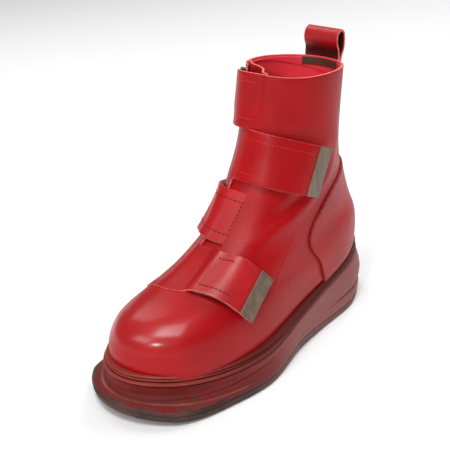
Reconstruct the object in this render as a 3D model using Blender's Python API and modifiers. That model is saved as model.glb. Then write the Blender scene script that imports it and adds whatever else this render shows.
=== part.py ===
"""Left ankle boot with four hook-and-loop straps, on a wedge sole with a welt.

The toe points to -Y, the outer side of the foot to +X, and the ground is z = 0.
Tables and sizes are in millimetres. Objects are placed in metres, with the origin
under the middle of the boot's box.

The upper is a stack of tilted rings. A ring runs from the vamp's centre line to the
heel's centre line, and phi goes round it: 0 at the toe, positive on the outer side,
pi at the heel. t goes up the boot: 0 at the sole, 1 at the collar.
"""

import bmesh
import bpy
import numpy as np

MM = 0.001

# Driving dimensions
SOLE_LENGTH = 276.0
SOLE_FRONT = -137.0
WALL = 2.0
STRAP_THICKNESS = 1.8
COUNTER_THICKNESS = 1.5
COUNTER_LIFT = 0.7
FASTENER_THICKNESS = 1.8
FASTENER_LIFT = 0.6
TIP_THICKNESS = 1.0
TIP_LENGTH = 12.5
TIP_CLEARANCE = 0.55
INSOLE_THICKNESS = 4.0
OUTSOLE_THICKNESS = 6.0
GAP = 0.3

# Shares of a ring's length where its half widths are given, toe first
RING_SHARES = (0.08, 0.32, 0.58, 0.86)

# Rings of the upper's outer face, one row each, from the sole to the collar
RING_COLUMNS = (
    "t", "front_y", "front_z", "back_y", "back_z",
    "out_toe", "out_ball", "out_waist", "out_heel",
    "in_toe", "in_ball", "in_waist", "in_heel", "toe_x", "heel_round",
)
RINGS = np.array([
    (0.00, -120, 28.8, 126, 45.8, 36, 50, 41, 31, 31, 42, 35, 31, -2, 0.85),
    (0.08, -123, 41, 128, 58, 37, 51, 43, 33, 30.5, 42.5, 37, 33, -2, 0.85),
    (0.17, -120, 55, 128, 72, 36, 49, 43, 33, 26.5, 38.5, 37, 33, -2, 0.86),
    (0.26, -109, 64, 126, 83, 32, 45, 41, 32, 19, 32.5, 36, 32, -2, 0.90),
    (0.36, -86, 72, 120, 97, 28, 41, 39, 28, 15, 29.5, 34, 28, -1, 0.95),
    (0.46, -59, 84, 114, 111, 26, 38, 38, 26, 12.5, 28.5, 34, 26, -1, 1.00),
    (0.56, -34, 101, 107, 127, 24, 37, 37, 25, 10.5, 27, 34, 25, 0, 1.00),
    (0.67, -13, 124, 102, 145, 22, 36, 37, 24, 14.5, 30.5, 35, 24, 0, 1.00),
    (0.78, 1, 152, 98, 164, 20, 34, 36, 24, 13.5, 30.5, 35.5, 24, 0, 1.00),
    (0.89, 8, 182, 96, 185, 19, 33, 35, 25, 14, 30.5, 35, 25, 0, 1.00),
    (1.00, 11, 211, 97, 207, 19, 33, 35, 25, 12.5, 30, 35, 25, 0, 1.00),
])
RING = {name: RINGS[:, column] for column, name in enumerate(RING_COLUMNS)}
SOLE_BLEND_END = 0.45

# The sole's outline where it is widest
SOLE_STATION_COLUMNS = ("share", "out", "in", "level")
SOLE_STATIONS = (
    (0.08, 44.5, 42.0, "toe"),
    (0.22, 56.5, 50.0, "ball"),
    (0.37, 60.5, 52.0, "ball"),
    (0.54, 49.5, 45.5, "waist"),
    (0.68, 43.5, 42.0, "waist"),
    (0.86, 38.5, 38.5, "heel"),
)
SOLE = dict(zip(SOLE_STATION_COLUMNS, zip(*SOLE_STATIONS)))
SOLE_TOE_X = -2.0
SOLE_HEEL_ROUND = 0.85

# Side view of the sole: its tread and the bed that the upper stands on
SIDE_COLUMNS = ("y", "tread_z", "bed_z")
SIDE = np.array([
    (-137, 6.0, 29.0),
    (-120, 2.9, 28.5),
    (-100, 0.6, 26.8),
    (-85, 0.0, 25.8),
    (-40, 0.0, 25.4),
    (-5, 1.5, 28.0),
    (22, 3.0, 32.0),
    (45, 1.0, 36.2),
    (60, 0.0, 38.8),
    (95, 0.0, 43.4),
    (126, 0.8, 45.5),
    (138, 3.0, 45.8),
])
SIDE_VIEW = {name: SIDE[:, column] for column, name in enumerate(SIDE_COLUMNS)}

# Side walls: how far each level is set in from the widest outline, from the ground up.
# height is a share of the piece's own height.
LEVEL_COLUMNS = ("height", "toe", "ball", "waist", "heel")
OUTSOLE_LEVELS = (
    (0.00, 3.0, 1.4, 1.2, 1.8),
    (0.30, 0.7, 0.3, 0.3, 0.7),
    (1.00, 0.0, 0.0, 0.0, 0.6),
)
MIDSOLE_LEVELS = (
    (0.00, 0.0, 0.0, 0.0, 0.6),
    (0.12, 1.5, 0.0, 0.0, 0.2),
    (0.20, 4.5, 0.2, 0.1, 0.6),
    (0.235, 6.0, 0.5, 0.3, 1.4),
    (0.27, 8.2, 1.0, 0.5, 2.8),
    (0.32, 8.6, 1.4, 0.5, 1.2),
    (0.50, 9.2, 2.4, 0.8, 0.2),
    (0.75, 9.0, 3.6, 1.2, 2.4),
    (0.90, 8.4, 4.2, 1.6, 4.2),
    (0.94, 8.0, 4.0, 1.4, 4.2),
    (1.00, 8.4, 4.4, 1.6, 4.6),
)
WELT_LEVELS = (
    (0.00, 10.2, 6.0, 2.4, 5.6),
    (0.45, 10.4, 6.2, 2.6, 5.8),
    (0.65, 9.6, 5.5, 2.0, 5.0),
    (1.00, 9.8, 5.7, 2.2, 5.2),
)
WELT_TOP_T = 0.03
WELT_CLEARANCE = 0.45
INSOLE_CLEARANCE = 0.7

# Tread: grooves across the forefoot and the heel, which stop short of the edge
GROOVE_WIDTH = 4.0
GROOVE_DEPTH = 2.6
GROOVE_MARGIN = 11.0
GROOVE_PLACES_Y = (-92, -78, -64, -50, -36, 68, 82, 96, 110)

# The throat is the slit down the front between the two quarters
THROAT_PHI = 0.28
THROAT_LOW_T = 0.40
TONGUE_PHI = 0.62
TONGUE_LOW_T = 0.37
TONGUE_TOP_T = 0.985
TONGUE_CLEARANCE = 0.4

# Straps: the middle line is t = middle_t - drop * phi * phi, and root to end is along phi.
# lean turns the end edge: phi added from the lower to the upper edge. The strap lies at
# root_lift over the upper until rise_from, and end_lift is added towards its end. tip_turn
# turns the flat end down in its own plane; a strap that has it springs off in one curve.
STRAPS = (
    {"name": "strap_1_collar", "root": 0.265, "end": -1.55, "middle_t": 0.927, "drop": 0.017,
     "width": 41.0, "lean": -0.06, "tip_turn": 0.0,
     "root_lift": -1.9, "rise_from": 0.265, "end_lift": 0.0},
    {"name": "strap_2_ankle", "root": -0.25, "end": 1.53, "middle_t": 0.783, "drop": 0.042,
     "width": 37.0, "lean": 0.11, "tip_turn": 0.0,
     "root_lift": -1.9, "rise_from": -0.25, "end_lift": 0.0},
    {"name": "strap_3_instep", "root": 0.265, "end": -1.42, "middle_t": 0.618, "drop": 0.060,
     "width": 40.0, "lean": -0.10, "tip_turn": 0.0,
     "root_lift": -1.9, "rise_from": 0.265, "end_lift": 0.0},
    {"name": "strap_4_vamp", "root": -0.80, "end": 1.17, "middle_t": 0.471, "drop": 0.150,
     "width": 35.5, "lean": 0.12, "tip_turn": 0.40,
     "root_lift": 0.5, "rise_from": 0.12, "end_lift": 0.8},
)
STRAP_LIFT = FASTENER_LIFT + FASTENER_THICKNESS + 2 * GAP
STRAP_RISE_PHI = 0.55
# The end is flat, held by its metal tip. It turns flat between these distances from it
STRAP_STIFF_FROM = 24.0
STRAP_STIFF_TO = 12.5
STRAP_PLATE_MIDDLE = 6.0
STRAP_SPRING_PHI = 0.36
FASTENER_START_PHI = 0.72
FASTENER_MARGIN = 5.0
FASTENER_END_SETBACK = 15.0

# Heel counter: the edge of one half, from the sole up and back to the heel's centre line
COUNTER_COLUMNS = ("phi", "low_t", "top_t")
COUNTER = np.array([
    (1.70, 0.380, 0.455),
    (1.76, 0.300, 0.492),
    (1.84, 0.220, 0.518),
    (1.92, 0.130, 0.533),
    (1.98, 0.040, 0.541),
    (2.12, 0.040, 0.551),
    (2.40, 0.040, 0.562),
    (2.77, 0.040, 0.570),
    (np.pi, 0.040, 0.572),
])

# Pull loop behind the collar: its middle line in side view, from the inner leg's foot
# over the top to the outer leg's foot. back is the distance behind the shaft.
LOOP_WIDTH = 32.0
LOOP_X = -1.0
LOOP_THICKNESS = 1.7
LOOP_COLUMNS = ("back", "z")
LOOP = np.array([
    (1.4, 178.0),
    (1.4, 198.0),
    (1.5, 208.0),
    (-1.8, 214.0),
    (-3.8, 220.0),
    (-3.0, 226.0),
    (0.2, 228.6),
    (3.4, 226.0),
    (4.3, 220.0),
    (4.1, 213.0),
    (3.8, 206.0),
    (3.6, 198.0),
    (3.6, 178.0),
])
LOOP_STEPS = 2
LOOP_COLUMNS_ACROSS = 5
LOOP_SHOULDER_PHI = 2.69
# Below the first height the strip follows the shaft's curve, and over the second it is straight
LOOP_HELD_Z = 206.0
LOOP_FREE_Z = 217.0

RING_ROWS_T = np.array([
    0.00, 0.03, 0.08, 0.13, 0.18, 0.23, 0.28, 0.34, 0.40, 0.46,
    0.52, 0.58, 0.64, 0.70, 0.76, 0.82, 0.88, 0.94, 1.00,
])
SIDE_STEPS = 27
STRAP_STEPS = (18, 4)
FASTENER_STEPS = (12, 4)
TONGUE_STEPS = (8, 12)
COUNTER_ROWS = 10

# Principled BSDF values: colour, roughness, metallic
MATERIALS = {
    "red_leather": ((0.47, 0.016, 0.020, 1.0), 0.36, 0.0),
    "red_lining": ((0.50, 0.030, 0.032, 1.0), 0.60, 0.0),
    "burgundy_rubber": ((0.16, 0.040, 0.036, 1.0), 0.48, 0.0),
    "brown_welt": ((0.13, 0.030, 0.020, 1.0), 0.50, 0.0),
    "dark_rubber": ((0.050, 0.026, 0.022, 1.0), 0.62, 0.0),
    "grey_metal": ((0.20, 0.16, 0.13, 1.0), 0.42, 0.9),
    "tan_hook_tape": ((0.30, 0.19, 0.14, 1.0), 0.90, 0.0),
}


def spline(knots, values, at):
    """Smooth curve through values at the knots, read at `at`.

    values holds one number for each knot, or one array like `at` for each knot.
    """
    knots = np.asarray(knots, float)
    at = np.asarray(at, float)
    values = np.asarray(values, float)
    if values.ndim == 1:
        values = values.reshape((-1,) + (1,) * at.ndim)
    step = np.diff(knots).reshape((-1,) + (1,) * at.ndim)
    rise = np.diff(values, axis=0) / step
    inner = (rise[:-1] * step[1:] + rise[1:] * step[:-1]) / (step[1:] + step[:-1])
    slope = np.concatenate([rise[:1], inner, rise[-1:]])
    place = np.clip(at, knots[0], knots[-1])
    result = np.zeros(np.broadcast_shapes(at.shape, values.shape[1:]))
    for k in range(len(knots) - 1):
        width = knots[k + 1] - knots[k]
        u = (place - knots[k]) / width
        v = 1 - u
        piece = (
            (1 + 2 * u) * v * v * values[k]
            + u * v * v * width * slope[k]
            + u * u * (3 - 2 * u) * values[k + 1]
            - u * u * v * width * slope[k + 1]
        )
        result = np.where((u >= 0) & (u <= 1), piece, result)
    return result


def share_along(phi):
    """Share of a ring's length from its front end."""
    return (1 - np.cos(phi)) / 2


def width_at(phi, shares, widths, heel_round):
    """Half width of a ring at phi, from its widths at those shares of its length.

    heel_round is the power of the heel's end: 1 is an ellipse, less is blunter.
    """
    angle = np.abs(phi)
    station = np.arccos(1 - 2 * np.asarray(shares))
    column = station.reshape((-1,) + (1,) * (np.ndim(widths) - 1))
    full = widths / np.sin(column) ** np.where(column > np.pi / 2, heel_round, 1.0)
    swing = np.sin(angle)
    swing = np.sign(swing) * np.abs(swing) ** np.where(angle > np.pi / 2, heel_round, 1.0)
    return swing * spline(station, full, angle)


def side_view(column, y):
    return spline(SIDE_VIEW["y"], SIDE_VIEW[column], y)


def upper_point(phi, t):
    """A point of the upper's outer face."""
    phi, t = np.broadcast_arrays(np.asarray(phi, float), np.asarray(t, float))
    row = {name: spline(RING["t"], RING[name], t) for name in RING_COLUMNS[1:]}
    share = share_along(phi)
    outer = np.stack([row["out_" + part] for part in ("toe", "ball", "waist", "heel")])
    inner = np.stack([row["in_" + part] for part in ("toe", "ball", "waist", "heel")])
    half = width_at(phi, RING_SHARES, np.where(phi >= 0, outer, inner), row["heel_round"])
    x = np.sign(phi) * half + row["toe_x"] * (1 - share) ** 2
    y = row["front_y"] + (row["back_y"] - row["front_y"]) * share
    z = row["front_z"] + (row["back_z"] - row["front_z"]) * share
    foot_y = RING["front_y"][0] + (RING["back_y"][0] - RING["front_y"][0]) * share
    foot_z = RING["front_z"][0] + (RING["back_z"][0] - RING["front_z"][0]) * share
    dip = side_view("bed_z", foot_y) + GAP - foot_z
    z = z + dip * np.clip(1 - t / SOLE_BLEND_END, 0, 1) ** 2
    return np.stack([x, y, z], axis=-1)


def upper_normal(phi, t):
    """Unit vector out of the upper."""
    step = 1e-3
    around = upper_point(phi + step, t) - upper_point(phi - step, t)
    up = upper_point(phi, np.minimum(t + step, 1)) - upper_point(phi, np.maximum(t - step, 0))
    normal = np.cross(around, up)
    return normal / np.linalg.norm(normal, axis=-1, keepdims=True)


def lifted(phi, t, lift):
    """A point at that height over the upper's outer face; negative is inside it."""
    phi, t, lift = np.broadcast_arrays(phi, t, lift)
    return upper_point(phi, t) + np.asarray(lift)[..., None] * upper_normal(phi, t)


def t_per_mm(phi, t):
    """How much t one millimetre up the boot is."""
    step = 1e-3
    rise = upper_point(phi, t + step) - upper_point(phi, t - step)
    return 2 * step / np.linalg.norm(rise, axis=-1)


def phi_per_mm(phi, t):
    step = 1e-3
    run = upper_point(phi + step, t) - upper_point(phi - step, t)
    return 2 * step / np.linalg.norm(run, axis=-1)


def ring_angles():
    """phi of the columns round the boot, with a column on each edge of the throat."""
    side = np.linspace(THROAT_PHI, np.pi, SIDE_STEPS + 1)
    front = np.array([-THROAT_PHI / 2, 0, THROAT_PHI / 2])
    return np.concatenate([front, side, -side[-2:0:-1], [-THROAT_PHI]])


def smooth_step(x):
    x = np.clip(x, 0, 1)
    return x * x * (3 - 2 * x)


def sole_ring(phi, set_in):
    """Plan outline (x, y) of the sole, set in by the amounts of each level of its wall."""
    column = (-1,) + (1,) * np.ndim(phi)
    inset = np.array([set_in[level] for level in SOLE["level"]]).reshape(column)
    outer = np.array(SOLE["out"]).reshape(column) - inset
    inner = np.array(SOLE["in"]).reshape(column) - inset
    share = share_along(phi)
    half = width_at(phi, SOLE["share"], np.where(phi >= 0, outer, inner), SOLE_HEEL_ROUND)
    x = np.sign(phi) * half + SOLE_TOE_X * (1 - share) ** 2
    y = SOLE_FRONT + set_in["toe"] + (SOLE_LENGTH - set_in["toe"] - set_in["heel"]) * share
    return x, y


def wall_rings(phi, levels, low_z, top_z):
    """The rings of a side wall, between two heights that depend on y."""
    rings = []
    for row in levels:
        level = dict(zip(LEVEL_COLUMNS, row))
        x, y = sole_ring(phi, level)
        z = low_z(y) + level["height"] * (top_z(y) - low_z(y))
        rings.append(np.stack([x, y, z], axis=-1))
    return rings


def box_centre():
    """Middle of the sole's outline, which is the widest thing in plan."""
    widest = dict.fromkeys(LEVEL_COLUMNS, 0.0)
    x, y = sole_ring(np.linspace(-np.pi, np.pi, 721), widest)
    return np.array([(x.max() + x.min()) / 2, (y.max() + y.min()) / 2, 0])


ORIGIN = box_centre()


def clear_scene():
    for obj in list(bpy.data.objects):
        bpy.data.objects.remove(obj)


def make_material(name):
    colour, roughness, metallic = MATERIALS[name]
    material = bpy.data.materials.new(name)
    material.use_nodes = True
    shader = material.node_tree.nodes["Principled BSDF"]
    shader.inputs["Base Color"].default_value = colour
    shader.inputs["Roughness"].default_value = roughness
    shader.inputs["Metallic"].default_value = metallic
    material.diffuse_color = colour
    return material


def add_object(name, bm, collection, material):
    mesh = bpy.data.meshes.new(name)
    bm.to_mesh(mesh)
    bm.free()
    mesh.materials.append(material)
    mesh.shade_smooth()
    mesh.set_sharp_from_angle(angle=np.radians(35))
    obj = bpy.data.objects.new(name, mesh)
    collection.objects.link(obj)
    return obj


def place(points):
    return (np.asarray(points, float) - ORIGIN) * MM


def grid_mesh(points, closed=False, hole=None):
    """A mesh through a grid of points; closed joins the last column to the first."""
    bm = bmesh.new()
    rows, columns = points.shape[:2]
    verts = [[bm.verts.new(p) for p in row] for row in place(points)]
    for r in range(rows - 1):
        for c in range(columns if closed else columns - 1):
            if hole is not None and hole(r, c):
                continue
            d = (c + 1) % columns
            bm.faces.new((verts[r][c], verts[r][d], verts[r + 1][d], verts[r + 1][c]))
    loose = [v for v in bm.verts if not v.link_faces]
    bmesh.ops.delete(bm, geom=loose, context="VERTS")
    return bm


def shell(name, points, thickness, collection, material, closed=False, hole=None):
    """A sheet of that thickness on the outer side of a grid, or the inner if negative."""
    obj = add_object(name, grid_mesh(points, closed, hole), collection, material)
    solid = obj.modifiers.new("wall", "SOLIDIFY")
    solid.thickness = abs(thickness) * MM
    solid.offset = 1.0 if thickness > 0 else -1.0
    solid.use_even_offset = True
    return obj


def loft(name, rings, collection, material, tube=False):
    """A solid through closed rings. Its ends are capped across, or joined if it is a tube."""
    bm = bmesh.new()
    count = len(rings[0])
    verts = [[bm.verts.new(p) for p in ring] for ring in place(rings)]
    pairs = list(zip(verts, verts[1:] + verts[:1]))
    for low, high in pairs if tube else pairs[:-1]:
        for c in range(count):
            d = (c + 1) % count
            bm.faces.new((low[c], low[d], high[d], high[c]))
    if not tube:
        for ring in (verts[0], verts[-1]):
            cap_across(bm, ring)
    bmesh.ops.recalc_face_normals(bm, faces=bm.faces[:])
    return add_object(name, bm, collection, material)


def cap_across(bm, ring):
    """Closes a ring with strips from its outer to its inner side, toe to heel."""
    count = len(ring)
    toe = 1
    for k in range(count // 2):
        corners = [ring[(toe + k) % count], ring[(toe + k + 1) % count],
                   ring[(toe - k - 1) % count], ring[(toe - k) % count]]
        bm.faces.new(list(dict.fromkeys(corners)))


def build_sole(parts, cutters, materials):
    phi = ring_angles()

    def tread(y):
        return np.maximum(side_view("tread_z", y), 0)

    def tread_top(y):
        return tread(y) + OUTSOLE_THICKNESS

    def bed(y):
        return side_view("bed_z", y)

    outsole = loft("outsole", wall_rings(phi, OUTSOLE_LEVELS, tread, tread_top),
                   parts, materials["dark_rubber"])
    cut_grooves(outsole, cutters)
    midsole_rings = wall_rings(phi, MIDSOLE_LEVELS, lambda y: tread_top(y) + GAP, bed)
    loft("midsole", midsole_rings, parts, materials["burgundy_rubber"])

    welt_top = float(upper_point(np.pi, WELT_TOP_T)[2] - upper_point(np.pi, 0.0)[2])
    welt_rings = wall_rings(phi, WELT_LEVELS, lambda y: bed(y) + GAP, lambda y: bed(y) + welt_top)
    for t in (WELT_TOP_T, 0.0):
        ring = lifted(phi, t, WELT_CLEARANCE)
        height = welt_top if t else GAP
        ring[:, 2] = bed(ring[:, 1]) + height
        welt_rings.append(ring)
    loft("welt", welt_rings, parts, materials["brown_welt"], tube=True)

    insole = lifted(phi, 0.0, -(WALL + INSOLE_CLEARANCE))
    insole_rings = []
    for height in (GAP, GAP + INSOLE_THICKNESS):
        ring = insole.copy()
        ring[:, 2] = bed(ring[:, 1]) + height
        insole_rings.append(ring)
    loft("insole", insole_rings, parts, materials["red_lining"])


def cut_grooves(outsole, cutters):
    """Takes the tread's grooves out of the outsole with one joined cutter."""
    bm = bmesh.new()
    for groove_y in GROOVE_PLACES_Y:
        share = (groove_y - SOLE_FRONT) / SOLE_LENGTH
        phi = np.arccos(1 - 2 * share)
        margins = dict.fromkeys(LEVEL_COLUMNS, GROOVE_MARGIN)
        ends = [float(sole_ring(turn, margins)[0]) for turn in (phi, -phi)]
        middle = place([(ends[0] + ends[1]) / 2, groove_y, 0])
        made = bmesh.ops.create_cube(bm, size=1.0)["verts"]
        size = ((ends[0] - ends[1]) * MM, GROOVE_WIDTH * MM, 2 * GROOVE_DEPTH * MM)
        bmesh.ops.scale(bm, vec=size, verts=made)
        bmesh.ops.translate(bm, vec=middle, verts=made)
    mesh = bpy.data.meshes.new("tread_grooves")
    bm.to_mesh(mesh)
    bm.free()
    cutter = bpy.data.objects.new("tread_grooves", mesh)
    cutter.hide_render = True
    cutter.display_type = "WIRE"
    cutters.objects.link(cutter)
    cut = outsole.modifiers.new("grooves", "BOOLEAN")
    cut.operation = "DIFFERENCE"
    cut.solver = "EXACT"
    cut.object = cutter


def build_upper(parts, materials):
    phi = ring_angles()
    in_throat = np.abs(phi) < THROAT_PHI - 1e-6

    def hole(row, column):
        last = (column + 1) % len(phi)
        return RING_ROWS_T[row] >= THROAT_LOW_T - 1e-6 and (in_throat[column] or in_throat[last])

    points = upper_point(phi[None, :], RING_ROWS_T[:, None])
    shell("upper", points, -WALL, parts, materials["red_leather"], closed=True, hole=hole)


def build_tongue(parts, materials):
    across = np.linspace(-TONGUE_PHI, TONGUE_PHI, TONGUE_STEPS[0] + 1)
    up = np.linspace(TONGUE_LOW_T, TONGUE_TOP_T, TONGUE_STEPS[1] + 1)
    points = lifted(across[None, :], up[:, None], -(WALL + TONGUE_CLEARANCE))
    shell("tongue", points, -STRAP_THICKNESS, parts, materials["red_leather"])


def build_counter(parts, materials):
    """The overlay round the heel, made from the upper's own face."""
    column = {name: COUNTER[:, k] for k, name in enumerate(COUNTER_COLUMNS)}
    phi = np.mod(ring_angles(), 2 * np.pi)
    from_front = np.minimum(phi, 2 * np.pi - phi)
    phi = np.sort(phi[from_front > column["phi"][0]])
    from_front = np.minimum(phi, 2 * np.pi - phi)
    low = np.interp(from_front, column["phi"], column["low_t"])
    top = spline(column["phi"], column["top_t"], from_front)
    phi = np.where(phi > np.pi, phi - 2 * np.pi, phi)
    share = np.linspace(0, 1, COUNTER_ROWS + 1)[:, None]
    points = lifted(phi[None, :], low + share * (top - low), COUNTER_LIFT)
    shell("heel_counter", points, COUNTER_THICKNESS, parts, materials["red_leather"])


def strap_lift(strap, phi):
    """Height of the strap's under side over the upper.

    It leaves the quarter that it is cut from flush, and rises over the other one.
    """
    way = np.sign(strap["end"])
    rise = (phi - strap["rise_from"]) / (STRAP_RISE_PHI * way - strap["rise_from"])
    end = (phi * way - STRAP_RISE_PHI) / (abs(strap["end"]) - STRAP_RISE_PHI)
    low = strap["root_lift"]
    return low + (STRAP_LIFT - low) * smooth_step(rise) + strap["end_lift"] * smooth_step(end)


def strap_middle(strap, phi):
    return strap["middle_t"] - strap["drop"] * phi * phi


def strap_place(strap, phi, across):
    """(phi, t) of a point of the strap, across in millimetres from its middle line."""
    middle = strap_middle(strap, phi)
    leaned = phi + strap["lean"] * across / strap["width"] * smooth_step(np.abs(phi))
    return leaned, middle + across * t_per_mm(phi, middle)


def strap_bent(strap, phi, across, lift):
    """A point over the strap's under side by that lift, where it follows the upper."""
    where_phi, where_t = strap_place(strap, phi, across)
    where_t = np.minimum(where_t, 1.0)
    return lifted(where_phi, where_t, strap_lift(strap, phi) + lift)


def strap_frame(strap):
    """Of the plane that the metal tip holds the strap's end to: a point, and the ways along
    the strap, across it and out."""
    middle_phi = beyond_end(strap, -STRAP_PLATE_MIDDLE)
    half = strap["width"] / 2
    places = [(-half, 0.0), (0.0, 0.0), (half, 0.0), (0.0, 1e-3)]
    low, middle, top, ahead = (
        strap_bent(strap, np.float64(middle_phi + step), np.float64(edge), 0.0)
        for edge, step in places)
    along = (ahead - middle) / np.linalg.norm(ahead - middle)
    side = (top - low) / np.linalg.norm(top - low)
    out = np.cross(along, side) / np.linalg.norm(np.cross(along, side))
    centre = (low + top) / 2
    centre = centre + max(float((middle - centre) @ out), 0.0) * out
    centre = centre + (STRAP_PLATE_MIDDLE - STRAP_STIFF_TO) * np.sign(strap["end"]) * along
    along = np.cos(strap["tip_turn"]) * along - np.sin(strap["tip_turn"]) * side
    return centre, along, side, out


def strap_plate(strap, frame, phi, across, lift):
    """The strap's flat end."""
    centre, along, side, out = frame
    distance = (phi - beyond_end(strap, -STRAP_STIFF_TO)) / end_phi_per_mm(strap)
    amounts = (distance, along), (across, side), (lift, out)
    return centre + sum(np.asarray(amount)[..., None] * way for amount, way in amounts)


def strap_spring(strap, frame, phi, across, lift):
    """The curve between the place where a strap leaves the upper and its flat end."""
    start, stop = STRAP_SPRING_PHI, beyond_end(strap, -STRAP_STIFF_TO)
    first, last = np.full(phi.shape, start), np.full(phi.shape, stop)
    step = 1e-3
    a, a_ahead = (strap_bent(strap, first + more, across, lift) for more in (0, step))
    b, b_ahead = (strap_plate(strap, frame, last + more, across, lift) for more in (0, step))
    slope_a, slope_b = ((ahead - at) / step * (stop - start)
                        for at, ahead in ((a, a_ahead), (b, b_ahead)))
    side = frame[2]
    slope_a = slope_a + ((b - a - slope_a) @ side)[..., None] * side
    u = np.clip((phi - start) / (stop - start), 0, 1)[..., None]
    return (a * (2 * u**3 - 3 * u**2 + 1) + slope_a * (u**3 - 2 * u**2 + u)
            + b * (3 * u**2 - 2 * u**3) + slope_b * (u**3 - u**2))


def strap_point(strap, phi, across, lift):
    """A point over the strap's under side by that lift. Towards its end the strap is flat."""
    phi, across, lift = np.broadcast_arrays(phi, across, lift)
    frame = strap_frame(strap)
    bent = strap_bent(strap, phi, across, lift)
    plate = strap_plate(strap, frame, phi, across, lift)
    from_end = (strap["end"] - phi) * np.sign(strap["end"]) / end_phi_per_mm(strap)
    if strap["tip_turn"]:
        spring = strap_spring(strap, frame, phi, across, lift)
        free = np.where((phi > STRAP_SPRING_PHI)[..., None], spring, bent)
        return np.where((from_end < STRAP_STIFF_TO)[..., None], plate, free)
    stiff = smooth_step((STRAP_STIFF_FROM - from_end) / (STRAP_STIFF_FROM - STRAP_STIFF_TO))
    return bent + (plate - bent) * stiff[..., None]


def end_phi_per_mm(strap):
    end = np.float64(strap["end"])
    return float(phi_per_mm(end, strap_middle(strap, end)))


def beyond_end(strap, distance):
    """phi of the place that far past the strap's end; negative is before it."""
    return strap["end"] + np.sign(strap["end"]) * distance * end_phi_per_mm(strap)


def build_strap(strap, parts, materials):
    half = strap["width"] / 2
    along = np.linspace(strap["root"], strap["end"], STRAP_STEPS[0] + 1)
    across = np.linspace(-half, half, STRAP_STEPS[1] + 1)
    points = strap_point(strap, along[None, :], across[:, None], 0.0)
    if strap["end"] < 0:
        points = points[:, ::-1]
    shell(strap["name"], points, STRAP_THICKNESS, parts, materials["red_leather"])


def build_fastener(strap, number, parts, materials):
    """The closed hook-and-loop pair between the strap's end and the quarter."""
    half = strap["width"] / 2 - FASTENER_MARGIN
    start = FASTENER_START_PHI * np.sign(strap["end"])
    along = np.linspace(start, beyond_end(strap, -FASTENER_END_SETBACK), FASTENER_STEPS[0] + 1)
    across = np.linspace(-half, half, FASTENER_STEPS[1] + 1)
    where_phi, where_t = strap_place(strap, along[None, :], across[:, None])
    points = lifted(where_phi, where_t, FASTENER_LIFT)
    if strap["end"] < 0:
        points = points[:, ::-1]
    shell(f"fastener_{number}", points, FASTENER_THICKNESS, parts, materials["tan_hook_tape"])


def build_tip(strap, number, parts, materials):
    """The metal end: a plate on top of the strap and a lip down over its cut end."""
    top = STRAP_THICKNESS + TIP_CLEARANCE
    plate = top + TIP_THICKNESS
    outside = GAP + TIP_THICKNESS
    steps = [-TIP_LENGTH * share for share in (1, 2 / 3, 1 / 3)]
    section = [(along, plate) for along in steps]
    section += [(outside, plate), (outside, 0.0), (GAP, 0.0), (GAP, top)]
    section += [(along, top) for along in reversed(steps)]
    half = strap["width"] / 2
    rings = []
    for across in np.linspace(-half, half, STRAP_STEPS[1] + 1):
        ring = [strap_point(strap, np.float64(beyond_end(strap, along)), np.float64(across), lift)
                for along, lift in section]
        rings.append(np.array(ring))
    bm = bmesh.new()
    verts = [[bm.verts.new(p) for p in ring] for ring in place(rings)]
    for low, high in zip(verts, verts[1:]):
        for c in range(len(section)):
            d = (c + 1) % len(section)
            bm.faces.new((low[c], low[d], high[d], high[c]))
    bm.faces.new(verts[0])
    bm.faces.new(verts[-1])
    bmesh.ops.recalc_face_normals(bm, faces=bm.faces[:])
    add_object(f"strap_tip_{number}", bm, parts, materials["grey_metal"])


def build_loop(parts, materials):
    """The strip folded into a loop behind the collar, both legs down the shaft's back."""
    knots = np.arange(len(LOOP))
    fine = np.linspace(0, len(LOOP) - 1, (len(LOOP) - 1) * LOOP_STEPS + 1)
    back, z = (spline(knots, LOOP[:, k], fine) for k in range(len(LOOP_COLUMNS)))
    rows = np.interp(np.minimum(z, RING["back_z"][-1]), RING["back_z"], RING["back_y"])
    x = LOOP_X + np.linspace(-LOOP_WIDTH / 2, LOOP_WIDTH / 2, LOOP_COLUMNS_ACROSS)
    shoulder = upper_point(LOOP_SHOULDER_PHI, 1.0)
    bow = (RING["back_y"][-1] - shoulder[1]) * (x / shoulder[0]) ** 2
    held = 1 - smooth_step((z - LOOP_HELD_Z) / (LOOP_FREE_Z - LOOP_HELD_Z))
    points = np.stack([
        np.broadcast_to(x[None, :], (len(fine), len(x))),
        (rows + back)[:, None] - bow[None, :] * held[:, None],
        np.broadcast_to(z[:, None], (len(fine), len(x))),
    ], axis=-1)
    obj = shell("pull_loop", points, LOOP_THICKNESS, parts, materials["red_leather"])
    obj.modifiers["wall"].offset = 0.0


def build():
    clear_scene()
    parts = bpy.data.collections.new("hook_and_loop_boot")
    cutters = bpy.data.collections.new("cutters")
    for collection in (parts, cutters):
        bpy.context.scene.collection.children.link(collection)
    materials = {name: make_material(name) for name in MATERIALS}
    build_sole(parts, cutters, materials)
    build_upper(parts, materials)
    build_tongue(parts, materials)
    build_counter(parts, materials)
    for number, strap in enumerate(STRAPS, start=1):
        build_strap(strap, parts, materials)
        build_fastener(strap, number, parts, materials)
        build_tip(strap, number, parts, materials)
    build_loop(parts, materials)


build()
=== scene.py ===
"""Looks of the left hook-and-loop boot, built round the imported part.

Places on the boot are given as in the part's source. phi goes round a ring of the upper:
0 at the toe, positive on the outer side, pi at the heel. t goes up the boot: 0 at the
sole, 1 at the collar. Tables are in millimetres, and objects are placed in metres.
"""

import bmesh
import bpy
import numpy as np
from mathutils import Matrix

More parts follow.
